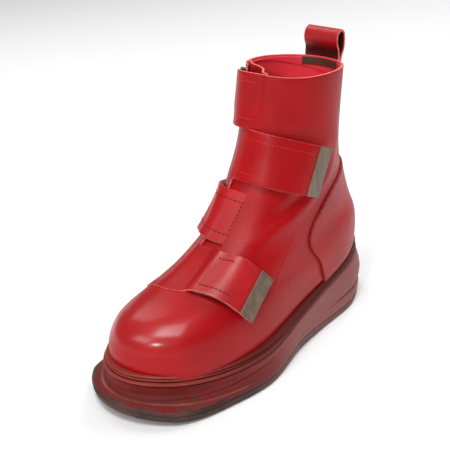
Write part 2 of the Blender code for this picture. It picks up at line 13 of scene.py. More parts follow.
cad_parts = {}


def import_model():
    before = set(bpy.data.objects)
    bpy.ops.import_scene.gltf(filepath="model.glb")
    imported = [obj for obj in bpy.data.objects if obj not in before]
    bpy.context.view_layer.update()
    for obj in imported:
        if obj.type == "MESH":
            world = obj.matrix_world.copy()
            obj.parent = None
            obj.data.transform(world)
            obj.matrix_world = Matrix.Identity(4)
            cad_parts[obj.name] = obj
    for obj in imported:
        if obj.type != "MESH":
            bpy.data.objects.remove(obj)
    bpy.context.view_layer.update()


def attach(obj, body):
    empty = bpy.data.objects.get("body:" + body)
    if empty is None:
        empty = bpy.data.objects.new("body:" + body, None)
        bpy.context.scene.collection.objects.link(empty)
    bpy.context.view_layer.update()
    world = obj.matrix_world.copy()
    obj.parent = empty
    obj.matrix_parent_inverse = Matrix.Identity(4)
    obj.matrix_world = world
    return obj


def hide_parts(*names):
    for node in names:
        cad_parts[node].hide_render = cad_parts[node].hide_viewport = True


MM = 0.001
# Step that slopes are measured with, in phi or t
STEP = 1e-3


def named(columns, rows):
    """A table's columns by name."""
    return dict(zip(columns, np.array(rows, float).T))


# Sizes shared with the part
SOLE_LENGTH = 276.0
SOLE_FRONT = -137.0
WALL = 2.0
INSOLE_THICKNESS = 4.0
OUTSOLE_THICKNESS = 6.0
GAP = 0.3
SEAM = 0.05
STRAP_LIFT = 3.0
STRAP_RISE_PHI = 0.55
STRAP_STIFF_TO = 12.5
STRAP_PLATE_MIDDLE = 6.0
SKIN_TOP = 1.9

RING_SHARES = (0.08, 0.32, 0.58, 0.86)
RING_COLUMNS = (
    "t", "front_y", "front_z", "back_y", "back_z",
    "out_toe", "out_ball", "out_waist", "out_heel",
    "in_toe", "in_ball", "in_waist", "in_heel", "toe_x", "heel_round",
)
RING = named(RING_COLUMNS, (
    (0.00, -120, 28.8, 126, 45.8, 36, 50, 41, 31, 31, 42, 35, 31, -2, 0.85),
    (0.08, -123, 41, 128, 58, 37, 51, 43, 33, 30.5, 42.5, 37, 33, -2, 0.85),
    (0.17, -120, 55, 128, 72, 36, 49, 43, 33, 26.5, 38.5, 37, 33, -2, 0.86),
    (0.26, -109, 64, 126, 83, 32, 45, 41, 32, 19, 32.5, 36, 32, -2, 0.90),
    (0.36, -86, 72, 120, 97, 28, 41, 39, 28, 15, 29.5, 34, 28, -1, 0.95),
    (0.46, -59, 84, 114, 111, 26, 38, 38, 26, 12.5, 28.5, 34, 26, -1, 1.00),
    (0.56, -34, 101, 107, 127, 24, 37, 37, 25, 10.5, 27, 34, 25, 0, 1.00),
    (0.67, -13, 124, 102, 145, 22, 36, 37, 24, 14.5, 30.5, 35, 24, 0, 1.00),
    (0.78, 1, 152, 98, 164, 20, 34, 36, 24, 13.5, 30.5, 35.5, 24, 0, 1.00),
    (0.89, 8, 182, 96, 185, 19, 33, 35, 25, 14, 30.5, 35, 25, 0, 1.00),
    (1.00, 11, 211, 97, 207, 19, 33, 35, 25, 12.5, 30, 35, 25, 0, 1.00),
))
FOOT = {name: column[0] for name, column in RING.items()}
SOLE_BLEND_END = 0.45
# How far the collar sags on the outer side of the front, and where
COLLAR_SAG = 2.4
COLLAR_SAG_PHI = 0.85
COLLAR_SAG_WIDTH = 0.75
COLLAR_SAG_FROM_T = 0.84

SOLE = dict(zip(("share", "out", "in", "level"), zip(
    (0.08, 44.5, 42.0, "toe"),
    (0.22, 56.5, 50.0, "ball"),
    (0.37, 60.5, 52.0, "ball"),
    (0.54, 49.5, 45.5, "waist"),
    (0.68, 43.5, 42.0, "waist"),
    (0.86, 38.5, 38.5, "heel"),
)))
SOLE_TOE_X = -2.0
SOLE_HEEL_ROUND = 0.85

SIDE_VIEW = named(("y", "tread_z", "bed_z"), (
    (-137, 6.0, 29.0),
    (-120, 2.9, 28.5),
    (-100, 0.6, 26.8),
    (-85, 0.0, 25.8),
    (-40, 0.0, 25.4),
    (-5, 1.5, 28.0),
    (22, 3.0, 32.0),
    (45, 1.0, 36.2),
    (60, 0.0, 38.8),
    (95, 0.0, 43.4),
    (126, 0.8, 45.5),
    (138, 3.0, 45.8),
))

LEVEL_COLUMNS = ("height", "toe", "ball", "waist", "heel")
OUTSOLE_LEVELS = (
    (0.00, 3.0, 1.4, 1.2, 1.8),
    (0.10, 1.6, 0.7, 0.6, 1.1),
    (0.30, 0.7, 0.3, 0.3, 0.7),
    (0.60, 0.3, 0.1, 0.1, 0.5),
    (0.92, 0.1, 0.0, 0.0, 0.5),
    (1.00, 0.5, 0.4, 0.4, 1.0),
)
MIDSOLE_LEVELS = (
    (0.00, 0.5, 0.5, 0.5, 1.0),
    (0.02, 0.1, 0.1, 0.1, 0.6),
    (0.07, 0.7, 0.0, 0.0, 0.3),
    (0.12, 1.5, 0.0, 0.0, 0.2),
    (0.20, 4.2, 0.2, 0.1, 0.6),
    (0.225, 5.2, 0.4, 0.2, 1.2),
    (0.24, 5.8, 0.6, 0.3, 2.0),
    (0.25, 7.4, 0.9, 0.5, 2.9),
    (0.27, 8.4, 1.2, 0.5, 2.8),
    (0.285, 8.5, 1.2, 0.5, 2.0),
    (0.32, 8.6, 1.3, 0.5, 1.2),
    (0.40, 8.9, 1.8, 0.6, 0.4),
    (0.50, 9.2, 2.4, 0.8, 0.2),
    (0.62, 9.1, 3.0, 1.0, 1.0),
    (0.75, 9.0, 3.6, 1.2, 2.4),
    (0.84, 8.8, 4.0, 1.6, 3.6),
    (0.855, 9.4, 4.6, 2.3, 4.4),
    (0.87, 9.9, 5.2, 2.8, 5.0),
    (0.885, 9.2, 4.6, 2.2, 4.6),
    (0.90, 8.3, 4.0, 1.5, 4.2),
    (0.93, 7.9, 3.8, 1.3, 4.0),
    (0.965, 8.2, 4.1, 1.5, 4.3),
    (1.00, 9.4, 5.2, 2.4, 5.3),
)
# A line pressed in round the midsole, at shares of its length
MIDSOLE_LINE = named(("share", "height", "depth"), (
    (0.00, 0.25, 0.0), (0.06, 0.26, 0.0), (0.15, 0.34, 0.6), (0.25, 0.47, 0.9),
    (0.33, 0.57, 0.9), (0.42, 0.64, 0.4), (0.50, 0.68, 0.0), (1.00, 0.70, 0.0),
))
MIDSOLE_LINE_WIDTH = 0.030
WELT_LEVELS = (
    (0.00, 10.8, 6.6, 3.0, 6.2),
    (0.10, 10.2, 6.0, 2.4, 5.6),
    (0.26, 9.7, 5.5, 2.0, 5.1),
    (0.42, 10.1, 5.9, 2.4, 5.5),
    (0.50, 10.9, 6.7, 3.1, 6.3),
    (0.58, 10.9, 6.7, 3.1, 6.3),
    (0.66, 10.1, 5.9, 2.4, 5.5),
    (0.82, 9.6, 5.5, 2.0, 5.0),
    (1.00, 10.2, 6.1, 2.6, 5.6),
)
# Bands of the midsole, as shares of its height
MIDSOLE_EDGE_FROM = 0.875
# The lip band is a thin pale line of painted highlight along the flare's edge at the toe
MIDSOLE_LIP_HIGHLIGHT = (0.232, 0.252)
# The foot band takes the outsole's dark colour, and at the toe it is partly painted shade of the
# undercut
MIDSOLE_FOOT = 0.13
# The foot band's waves, as size, turns round the sole and start, and where it fades in
MIDSOLE_FOOT_WAVES = ((0.024, 9, 1), (0.014, 23, 0), (0.008, 51, 0))
MIDSOLE_FOOT_Y = (-20.0, -80.0)
MIDSOLE_TOE_Y = -60.0
WELT_TOP_T = 0.03
INSOLE_CLEARANCE = 0.7
# Rings of the insole: height over the bed, and how far they are set in
INSOLE_LEVELS = (
    (GAP, 0.0), (INSOLE_THICKNESS - 0.6, 0.0), (INSOLE_THICKNESS - 0.1, 0.4),
    (INSOLE_THICKNESS + GAP, 1.2),
)

GROOVE_WIDTH = 4.0
GROOVE_DEPTH = 2.6
GROOVE_MARGIN = 11.0
GROOVE_PLACES_Y = (-92, -78, -64, -50, -36, 68, 82, 96, 110)

THROAT_PHI = 0.28
THROAT_LOW_T = 0.40

# Straps from the collar down; tape_phi is where the hook-and-loop tape begins
STRAP_COLUMNS = (
    "root", "end", "spring_phi", "tape_phi", "middle_t", "drop", "width", "lean",
    "root_lift", "rise_from", "end_lift", "tip_turn",
)
STRAPS = [dict(zip(STRAP_COLUMNS, row)) for row in (
    (0.28, -1.55, -0.72, -0.60, 0.927, 0.023, 41.0, -0.06, -1.9, 0.28, 0.0, 0.0),
    (-0.28, 1.53, 0.78, 0.60, 0.783, 0.042, 37.0, 0.11, -1.9, -0.28, 0.0, 0.0),
    (0.28, -1.42, -0.62, -0.60, 0.618, 0.060, 40.0, -0.10, -1.9, 0.28, 0.0, 0.0),
    (-0.80, 1.17, 0.36, 0.42, 0.471, 0.150, 35.5, 0.12, 3.4, 0.10, 1.4, 0.40),
)]
# Rounding of the inner corner between a strap and its quarter
CORNER_RADIUS = 2.6

# Behind the first strap the inner quarter stops short of the throat
POCKET_PHI = -1.15
POCKET_LOW_T = 0.90
# The fold of the tongue at the collar, seen from above: x, y
FOLD = np.array([
    (-31.0, 43.0), (-27.0, 38.5), (-20.0, 34.0), (-12.0, 31.0), (-5.0, 26.5),
    (-0.5, 21.0), (3.5, 16.5), (9.0, 14.0),
])

# Front edge of the inner quarter over the vamp, down to the sole: phi, t
QUARTER_EDGE = np.array([
    (-1.30, 0.010), (-1.22, 0.050), (-1.10, 0.115), (-0.95, 0.195), (-0.75, 0.280),
    (-0.50, 0.345), (-0.22, 0.378), (0.07, 0.390), (0.40, 0.394),
])

# Where the fourth strap lifts off its quarter, at its lower and upper edge
FOLD_LOW_PHI = 0.33
FOLD_TOP_PHI = 0.20
# The inner quarter ends at this height under the third strap
QUARTER_TOP_T = 0.527

COUNTER = named(("phi", "low_t", "top_t"), (
    (1.693, 0.420, 0.436),
    (1.700, 0.390, 0.452),
    (1.720, 0.352, 0.470),
    (1.76, 0.300, 0.490),
    (1.84, 0.220, 0.517),
    (1.92, 0.130, 0.533),
    (1.98, 0.030, 0.541),
    (2.12, 0.022, 0.551),
    (2.40, 0.022, 0.562),
    (2.77, 0.022, 0.570),
    (np.pi, 0.022, 0.572),
))

LOOP_WIDTH = 30.8
LOOP_X = -1.8
# The loop from its front leg's foot over the top: distance behind the collar, and height
LOOP = named(("back", "z"), (
    (1.4, 178.0), (1.4, 198.0), (1.3, 207.0), (-1.2, 212.5), (-4.9, 219.5), (-4.2, 226.0),
    (0.0, 228.8), (3.6, 226.2), (4.5, 220.0), (4.2, 213.0), (3.8, 206.0), (3.6, 198.0),
    (3.6, 178.0),
))
# The front leg ends this many points up
LOOP_CROWN = 5.6
LOOP_SHOULDER_PHI = 2.69
LOOP_HELD_Z = 206.0
LOOP_FREE_Z = 217.0

# Soft troughs and ridges of the leather: from phi, t to phi, t, then width and height
CREASES = (
    (0.40, 0.845, 1.50, 0.800, 5.0, -1.1),
    (1.78, 0.800, 2.10, 0.735, 6.0, 0.9),
    (1.72, 0.665, 0.90, 0.595, 8.0, -2.4),
    (1.82, 0.665, 1.32, 0.566, 9.0, 1.1),
    (1.36, 0.570, 0.70, 0.535, 9.0, 1.0),
    (1.30, 0.055, 2.70, 0.055, 5.0, 1.0),
    (1.95, 0.730, 1.75, 0.610, 6.0, 0.7),
    (-0.50, 0.660, -1.40, 0.600, 7.0, -0.9),
    (-1.60, 0.700, -2.10, 0.660, 6.0, -0.8),
    (-0.40, 0.870, -1.50, 0.820, 6.0, -0.9),
    (2.55, 0.720, 3.10, 0.700, 7.0, -0.8),
    (-2.55, 0.735, -3.10, 0.700, 7.0, -0.8),
    (-0.60, 0.130, -1.00, 0.200, 10.0, -0.5),
    (1.42, 0.485, 1.39, 0.215, 0.9, 0.28),
    (0.19, 0.90, 0.21, 1.02, 2.6, -0.9),
    (0.33, 0.89, 0.33, 1.02, 3.5, 0.5),
    (-1.10, 0.0, 1.30, 0.0, 9.0, 1.9),
)
CREASE_END_SHARE = 0.4


def hermite(u, a, slope_a, b, slope_b):
    """A curve from a to b, with those slopes, as u goes from 0 to 1."""
    v = 1 - u
    return ((1 + 2 * u) * v * v * a + u * v * v * slope_a
            + u * u * (3 - 2 * u) * b - u * u * v * slope_b)


def spline(knots, values, at):
    """Smooth curve through values at the knots, read at `at`."""
    knots, values, at = (np.asarray(given, float) for given in (knots, values, at))
    if values.ndim == 1:
        values = values.reshape((-1,) + (1,) * at.ndim)
    step = np.diff(knots).reshape((-1,) + (1,) * at.ndim)
    rise = np.diff(values, axis=0) / step
    inner = (rise[:-1] * step[1:] + rise[1:] * step[:-1]) / (step[1:] + step[:-1])
    slope = np.concatenate([rise[:1], inner, rise[-1:]])
    place = np.clip(at, knots[0], knots[-1])
    result = np.zeros(np.broadcast_shapes(at.shape, values.shape[1:]))
    for k, width in enumerate(np.diff(knots)):
        u = (place - knots[k]) / width
        piece = hermite(u, values[k], width * slope[k], values[k + 1], width * slope[k + 1])
        result = np.where((u >= 0) & (u <= 1), piece, result)
    return result


def ramp(x, low, high):
    """Runs smoothly from 0 at low to 1 at high."""
    x = np.clip((x - low) / (high - low), 0, 1)
    return x * x * (3 - 2 * x)


def unit(vectors):
    return vectors / np.linalg.norm(vectors, axis=-1, keepdims=True)


def share_along(phi):
    return (1 - np.cos(phi)) / 2


def width_at(phi, shares, widths, heel_round):
    """Half width of a ring at phi, from its widths at those shares of its length."""
    angle = np.abs(phi)
    station = np.arccos(1 - 2 * np.asarray(shares))
    column = station.reshape((-1,) + (1,) * (np.ndim(widths) - 1))
    full = widths / np.sin(column) ** np.where(column > np.pi / 2, heel_round, 1.0)
    swing = np.sin(angle)
    swing = np.sign(swing) * np.abs(swing) ** np.where(angle > np.pi / 2, heel_round, 1.0)
    return swing * spline(station, full, angle)


def bed(y):
    return spline(SIDE_VIEW["y"], SIDE_VIEW["bed_z"], y)


def tread(y):
    return np.maximum(spline(SIDE_VIEW["y"], SIDE_VIEW["tread_z"], y), 0)


def upper_point(phi, t):
    """A point of the upper's outer face."""
    phi, t = np.broadcast_arrays(np.asarray(phi, float), np.asarray(t, float))
    row = {name: spline(RING["t"], RING[name], t) for name in RING_COLUMNS[1:]}
    share = share_along(phi)
    outer, inner = (np.stack([row[side + part] for part in LEVEL_COLUMNS[1:]])
                    for side in ("out_", "in_"))
    half = width_at(phi, RING_SHARES, np.where(phi >= 0, outer, inner), row["heel_round"])
    x = np.sign(phi) * half + row["toe_x"] * (1 - share) ** 2
    y, z, foot_y, foot_z = (
        ring["front" + axis] + (ring["back" + axis] - ring["front" + axis]) * share
        for ring in (row, FOOT) for axis in ("_y", "_z"))
    dip = bed(foot_y) + GAP - foot_z
    z = z + dip * np.clip(1 - t / SOLE_BLEND_END, 0, 1) ** 2
    sag = np.exp(-(((phi - COLLAR_SAG_PHI) / COLLAR_SAG_WIDTH) ** 2))
    z = z - COLLAR_SAG * sag * ramp(t, COLLAR_SAG_FROM_T, 1.0)
    return np.stack([x, y, z], axis=-1)


def upper_normal(phi, t):
    around = upper_point(phi + STEP, t) - upper_point(phi - STEP, t)
    up = upper_point(phi, np.minimum(t + STEP, 1)) - upper_point(phi, np.maximum(t - STEP, 0))
    return unit(np.cross(around, up))


def t_per_mm(phi, t):
    rise = upper_point(phi, t + STEP) - upper_point(phi, t - STEP)
    return 2 * STEP / np.linalg.norm(rise, axis=-1)


def phi_per_mm(phi, t):
    run = upper_point(phi + STEP, t) - upper_point(phi - STEP, t)
    return 2 * STEP / np.linalg.norm(run, axis=-1)


def crease_lift(phi, t):
    """Height that the creases add at a place of the upper."""
    total = np.zeros(np.broadcast_shapes(np.shape(phi), np.shape(t)))
    for phi_a, t_a, phi_b, t_b, width, height in CREASES:
        middle = np.float64((phi_a + phi_b) / 2), np.float64(min((t_a + t_b) / 2, 0.99))
        across, up = 1 / phi_per_mm(*middle), 1 / t_per_mm(*middle)
        run = np.array([(phi_b - phi_a) * across, (t_b - t_a) * up])
        x, y = (phi - phi_a) * across, (t - t_a) * up
        along = np.clip((x * run[0] + y * run[1]) / (run @ run), 0, 1)
        away = (x - along * run[0]) ** 2 + (y - along * run[1]) ** 2
        fade = CREASE_END_SHARE + (1 - CREASE_END_SHARE) * np.sin(np.pi * along)
        total += height * np.exp(-away / width**2) * fade
    return total


def lifted(phi, t, lift, creased=True):
    """A point at that height over the upper's outer face; negative is inside it."""
    phi, t, lift = np.broadcast_arrays(phi, t, lift)
    if creased:
        lift = lift + crease_lift(phi, t)
    return upper_point(phi, t) + np.asarray(lift)[..., None] * upper_normal(phi, t)


def sole_ring(phi, set_in):
    """Plan outline (x, y) of the sole, set in by the amounts of each level of its wall."""
    column = (-1,) + (1,) * np.ndim(phi)
    inset = np.array([set_in[level] for level in SOLE["level"]]).reshape(column)
    outer, inner = (np.reshape(SOLE[side], column) - inset for side in ("out", "in"))
    share = share_along(phi)
    half = width_at(phi, SOLE["share"], np.where(phi >= 0, outer, inner), SOLE_HEEL_ROUND)
    x = np.sign(phi) * half + SOLE_TOE_X * (1 - share) ** 2
    y = SOLE_FRONT + set_in["toe"] + (SOLE_LENGTH - set_in["toe"] - set_in["heel"]) * share
    return x, y


# The part's origin is under the middle of the sole's outline
OUTLINE = sole_ring(np.linspace(-np.pi, np.pi, 721), dict.fromkeys(LEVEL_COLUMNS, 0.0))
ORIGIN = np.array([*((axis.max() + axis.min()) / 2 for axis in OUTLINE), 0])


def place(points):
    return (np.asarray(points, float) - ORIGIN) * MM


# Straps

def strap_lift(strap, phi):
    """Height of the strap's under side over the upper."""
    way = np.sign(strap["end"])
    rise = ramp(phi, strap["rise_from"], STRAP_RISE_PHI * way)
    end = ramp(np.abs(phi), STRAP_RISE_PHI, abs(strap["end"]))
    base = strap["root_lift"] + (STRAP_LIFT - strap["root_lift"]) * rise
    return base + strap["end_lift"] * end * (phi * way > 0)


def strap_middle(strap, phi):
    return strap["middle_t"] - strap["drop"] * phi * phi


def strap_place(strap, phi, across):
    """(phi, t) of a point of the strap, across in millimetres from its middle line."""
    middle = strap_middle(strap, phi)
    travel = ramp(phi, strap["root"], strap["end"])
    leaned = phi + strap["lean"] * across / strap["width"] * travel
    return leaned, np.minimum(middle + across * t_per_mm(phi, middle), 1.0)


def strap_bent(strap, phi, across, lift):
    """A point over the strap's under side by that lift, where it follows the upper."""
    where_phi, where_t = strap_place(strap, phi, across)
    return lifted(where_phi, where_t, strap_lift(strap, phi) + lift, strap is not STRAPS[3])


def strap_frame(strap):
    """Of the plane that the metal tip holds the strap's end to: a point, and the ways along
    the strap, across it and out."""
    middle_phi = beyond_end(strap, -STRAP_PLATE_MIDDLE)
    half = strap["width"] / 2
    low, middle, top, ahead = (
        strap_bent(strap, np.float64(middle_phi + step), np.float64(edge), 0.0)
        for edge, step in ((-half, 0.0), (0.0, 0.0), (half, 0.0), (0.0, STEP)))
    along, side = unit(ahead - middle), unit(top - low)
    out = unit(np.cross(along, side))
    centre = (low + top) / 2
    centre = centre + max(float((middle - centre) @ out), 0.0) * out
    centre = centre + (STRAP_PLATE_MIDDLE - STRAP_STIFF_TO) * np.sign(strap["end"]) * along
    along = np.cos(strap["tip_turn"]) * along - np.sin(strap["tip_turn"]) * side
    return centre, along, side, out


def strap_plate(strap, frame, phi, across, lift):
    """The strap's flat end."""
    centre, along, side, out = frame
    distance = (phi - beyond_end(strap, -STRAP_STIFF_TO)) / end_phi_per_mm(strap)
    amounts = (distance, along), (across, side), (lift, out)
    return centre + sum(np.asarray(amount)[..., None] * way for amount, way in amounts)


def strap_point(strap, phi, across, lift):
    """A point over the strap's under side by that lift: it follows the upper, then springs
    off it in one curve to its flat end."""
    phi, across, lift = np.broadcast_arrays(phi, across, lift)
    frame = strap_frame(strap)
    start, stop = strap["spring_phi"], beyond_end(strap, -STRAP_STIFF_TO)
    first, last = np.full(phi.shape, start), np.full(phi.shape, stop)
    a, a_ahead = (strap_bent(strap, first + more, across, lift) for more in (0, STEP))
    b, b_ahead = (strap_plate(strap, frame, last + more, across, lift) for more in (0, STEP))
    slope_a, slope_b = (ahead / STEP * (stop - start) for ahead in (a_ahead - a, b_ahead - b))
    if strap["tip_turn"]:
        side = frame[2]
        slope_a = slope_a + ((b - a - slope_a) @ side)[..., None] * side
    u = ((phi - start) / (stop - start))[..., None]
    curve = hermite(u, a, slope_a, b, slope_b)
    curve = np.where(u < 0, strap_bent(strap, phi, across, lift), curve)
    return np.where(u > 1, strap_plate(strap, frame, phi, across, lift), curve)


def end_phi_per_mm(strap):
    end = np.float64(strap["end"])
    return float(phi_per_mm(end, strap_middle(strap, end)))


def beyond_end(strap, distance):
    """phi of the place that far past the strap's end; negative is before it."""
    return strap["end"] + np.sign(strap["end"]) * distance * end_phi_per_mm(strap)


# Materials

# A mix node's sockets for colours
MIX_A, MIX_B, MIX_OUT = 6, 7, 2
# The part of a noise's range that two colours are spread over
CLOUD = (0.35, 0.65)
# In metres: where painted shade darkens the loop's front leg to its foot, and where the toe is
# polished
LOOP_PAINTED_SHADE_Z = (0.2205, 0.2130)
POLISH_Y = (-0.080, -0.128)
POLISH_Z = (0.044, 0.058)
# In metres: how sharply the sole's low colour begins, and where it and its patches fade in
LOW_BLEND = 0.0015
LOW_Y = (0.000, -0.070)
WORN_Y = (-0.02, -0.08)


def srgb(red, green, blue):
    """Linear colour of 8-bit screen values."""
    value = np.array([red, green, blue]) / 255
    linear = np.where(value <= 0.04045, value / 12.92, ((value + 0.055) / 1.055) ** 2.4)
    return (*linear, 1.0)


def fill(thing, **values):
    """Sets those values of a node, a modifier, a light or a camera."""
    for key, value in values.items():
        setattr(thing, key, value)
    return thing


class Nodes:
    """Short hand for a material's node tree."""

    def __init__(self, name):
        self.material = bpy.data.materials.new(name)
        self.material.use_nodes = True
        self.tree = self.material.node_tree
        self.shader = self.tree.nodes["Principled BSDF"]
        self.space = self.add("TexCoord", "Object")
        self.y, self.z = (self.add("SeparateXYZ", axis, {"Vector": self.space}) for axis in "YZ")

    def put(self, socket, value):
        """Sets a socket, or links it to another node's output."""
        if isinstance(value, bpy.types.NodeSocket):
            self.tree.links.new(value, socket)
        else:
            socket.default_value = value

    def add(self, kind, output, inputs=(), **options):
        """The output of a new node with those inputs and options."""
        node = fill(self.tree.nodes.new("ShaderNode" + kind), **options)
        for key, value in dict(inputs).items():
            self.put(node.inputs[key], value)
        return node.outputs[output]

    def noise(self, scale, detail=3.0, rough=0.5, stretch=None):
        vector = self.space
        if stretch:
            vector = self.add("Mapping", "Vector", {"Vector": vector, "Scale": stretch})
        return self.add("TexNoise", "Fac", {"Vector": vector, "Scale": scale, "Detail": detail,
                                            "Roughness": rough})

    def cells(self, scale):
        return self.add("TexVoronoi", "Distance", {"Vector": self.space, "Scale": scale},
                        feature="DISTANCE_TO_EDGE")

    def span(self, value, low, high, out_low=0.0, out_high=1.0):
        """Runs smoothly between the outs as the value runs from low to high."""
        return self.add("MapRange", "Result", {
            "Value": value, "From Min": low, "From Max": high, "To Min": out_low,
            "To Max": out_high}, interpolation_type="SMOOTHSTEP")

    def mix(self, share, *colours):
        """A colour between two; each is 8-bit screen values or another node's output."""
        first, second = (srgb(*c) if isinstance(c, tuple) else c for c in colours)
        return self.add("Mix", MIX_OUT, {"Factor": share, MIX_A: first, MIX_B: second},
                        data_type="RGBA")

    def times(self, first, second):
        return self.add("Math", "Value", {0: first, 1: second}, operation="MULTIPLY")

    def bump(self, *layers):
        """Stacks bumps: (height output, strength, distance in metres)."""
        inputs = {}
        for height, strength, distance in layers:
            inputs.update({"Height": height, "Strength": strength, "Distance": distance})
            inputs["Normal"] = self.add("Bump", "Normal", inputs)
        self.set(Normal=inputs["Normal"])

    def set(self, **values):
        """Sets or links the shader's own sockets, and returns the material."""
        for key, value in values.items():
            self.put(self.shader.inputs[key.replace("_", " ")], value)
        return self.material


def leather(name, light, dark, gloss, sheen, grain=0.05, polish=0.0, shade=None):
    """Leather. polish is the coat on its toe, and shade a dark colour painted as shade on the pull
    loop's foot.
    """
    n = Nodes(name)
    base = n.mix(n.span(n.noise(26.0), *CLOUD), dark, light)
    if shade:
        # Painted shade: the colour darkens towards the loop's foot
        base = n.mix(n.span(n.z, *LOOP_PAINTED_SHADE_Z, 0.0, 0.95), base, shade)
    if polish:
        toe = n.times(n.span(n.y, *POLISH_Y, 0.0, polish), n.span(n.z, *POLISH_Z))
        n.set(Coat_Weight=toe, Coat_Roughness=0.20)
    fine = n.noise(520.0, 4.0, 0.6)
    n.bump((n.noise(70.0, 2.0), 0.10, 0.0006), (n.cells(780.0), grain, 0.00012),
           (fine, grain, 0.00015))
    return n.set(Base_Color=base, Specular_IOR_Level=sheen,
                 Roughness=n.span(fine, 0.3, 0.7, gloss - 0.05, gloss + 0.06))


def rubber(name, light, dark, low=None, worn=None, low_top=0.0, back=None,
           back_from=-0.070, back_to=0.020):
    """Moulded rubber. Below low_top, in metres, it has the low colour and worn patches of
    another, and towards the heel it turns to the back colour."""
    n = Nodes(name)
    base = n.mix(n.span(n.noise(34.0, 4.0, 0.6, (1.0, 1.0, 2.6)), *CLOUD), dark, light)
    if back:
        base = n.mix(n.span(n.y, back_from, back_to), base, back)
    if low:
        under = n.times(n.span(n.z, low_top, low_top - LOW_BLEND), n.span(n.y, *LOW_Y))
        patch = n.span(n.noise(110.0, 3.0, 0.6, (1.0, 1.0, 2.0)), 0.50, 0.60)
        patch = n.times(patch, n.span(n.y, *WORN_Y, 0.0, 0.85))
        base = n.mix(under, base, n.mix(patch, low, worn))
    fine = n.noise(420.0)
    n.bump((n.noise(120.0, 3.0, 0.6, (1.0, 1.0, 3.0)), 0.14, 0.0006), (fine, 0.12, 0.0002))
    return n.set(Base_Color=base, Roughness=n.span(fine, 0.3, 0.7, 0.46, 0.60),
                 Specular_IOR_Level=0.18)


def grained(name, dark, light, scale, rough, grain, spread=CLOUD, detail=(3.0, 0.5),
            stretch=None, depth=0.0002, **values):
    """A plain material with one noise in its colour, its bumps and, between two, its gloss."""
    n = Nodes(name)
    speck = n.noise(scale, *detail, stretch)
    n.bump((speck, grain, depth))
    if isinstance(rough, tuple):
        rough = n.span(speck, *spread, *rough)
    base = n.mix(n.span(speck, *spread), dark, light)
    return n.set(Base_Color=base, Roughness=rough, **values)


# Meshes

# Number of the second leather among a mesh's materials, after the first one's three
SECOND = 3
SHARP_EDGE = np.radians(50)
SHARP_SOLE = np.radians(40)


def new_object(name, data):
    obj = bpy.data.objects.new(name, data)
    bpy.context.scene.collection.objects.link(obj)
    return obj


def make_mesh(name, verts, faces, materials):
    mesh = bpy.data.meshes.new(name)
    mesh.from_pydata([tuple(v) for v in place(verts)], [], [tuple(f) for f in faces])
    for material in materials:
        mesh.materials.append(material)
    mesh.shade_smooth()
    mesh.update()
    return new_object(name, mesh)


def mark(obj, numbers):
    """Gives the faces their materials, by number."""
    obj.data.polygons.foreach_set("material_index", np.asarray(numbers, np.int32))


def settle(obj, slot, *nodes):
    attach(obj, "root")
    if nodes:
        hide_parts(*nodes)
    return obj


def quads(index):
    """Faces between the rows and columns of a table of vertex numbers."""
    corners = index[:-1, :-1], index[:-1, 1:], index[1:, 1:], index[1:, :-1]
    return np.stack(corners, axis=-1).reshape(-1, 4).tolist()


def grid_faces(rows, columns, closed=False):
    index = np.arange(rows * columns).reshape(rows, columns)
    return quads(np.concatenate([index, index[:, :1]], axis=1) if closed else index)


def stretches(knots, counts):
    """Places from knot to knot, with that many to each stretch."""
    pieces = [np.linspace(a, b, count) for a, b, count in zip(knots, knots[1:], counts)]
    return np.concatenate([piece[:-1] for piece in pieces] + [knots[-1:]])


def bevel(obj, width):
    fill(obj.modifiers.new("edge", "BEVEL"), width=width * MM, segments=2, limit_method="ANGLE",
         angle_limit=SHARP_EDGE, use_clamp_overlap=False)
    return obj


def thicken(obj, thickness, edge=0.3, offset=-1.0):
    """Gives a sheet its thickness, with other materials inside and on the cut edges."""
    fill(obj.modifiers.new("thickness", "SOLIDIFY"), thickness=thickness * MM, offset=offset,
         use_even_offset=False, material_offset=1, material_offset_rim=2)
    return bevel(obj, edge)


def sheet(name, points, thickness, materials, edge=0.3, flip=False, offset=-1.0):
    faces = grid_faces(*points.shape[:2])
    if flip:
        faces = [f[::-1] for f in faces]
    obj = make_mesh(name, points.reshape(-1, 3), faces, materials)
    return thicken(obj, thickness, edge, offset)


def face_out(obj):
    bm = bmesh.new()
    bm.from_mesh(obj.data)
    bmesh.ops.recalc_face_normals(bm, faces=bm.faces[:])
    bm.to_mesh(obj.data)
    bm.free()


# Upper

# Rows and columns of the upper, closer together at the fine crease of its outer side
UPPER_ROW_T = 0.011
UPPER_KNOTS_PHI = (THROAT_PHI, 1.34, 1.47, np.pi)
UPPER_COUNTS = (44, 16, 56)
# Columns of a strap next to its quarter, in millimetres from it
FINGER_NEAR = (0.35, 0.7, 1.1, 1.5, 2.0, 2.6)
FINGER_FAR = 3.4
FINGER_PITCH = 1.5
ROUNDING = 1e-9


def finger(strap):
    """Of a strap cut in one with its quarter: t of its edges where it leaves it, phi of its
    columns, and how far its edges there are from its middle line. The first ends at the collar."""
    root = np.float64(strap["root"])
    middle = strap_middle(strap, root)
    t_mm, phi_mm = float(t_per_mm(root, middle)), float(phi_per_mm(root, middle))
    length = abs(strap["end"] - root) / phi_mm
    far = np.linspace(FINGER_FAR, length, int(length / FINGER_PITCH))
    distance = np.concatenate([FINGER_NEAR, far])
    inside = np.clip(CORNER_RADIUS - distance, 0, None)
    wide = strap["width"] / 2 + CORNER_RADIUS - np.sqrt(CORNER_RADIUS**2 - inside**2)
    reach = (strap["width"] / 2 + CORNER_RADIUS) * t_mm
    phi = root + np.sign(strap["end"]) * distance * phi_mm
    if strap is STRAPS[0]:
        return middle - reach, 1.0, phi, -wide, np.full(len(phi), (1.0 - middle) / t_mm)
    return middle - reach, middle + reach, phi, -wide, wide


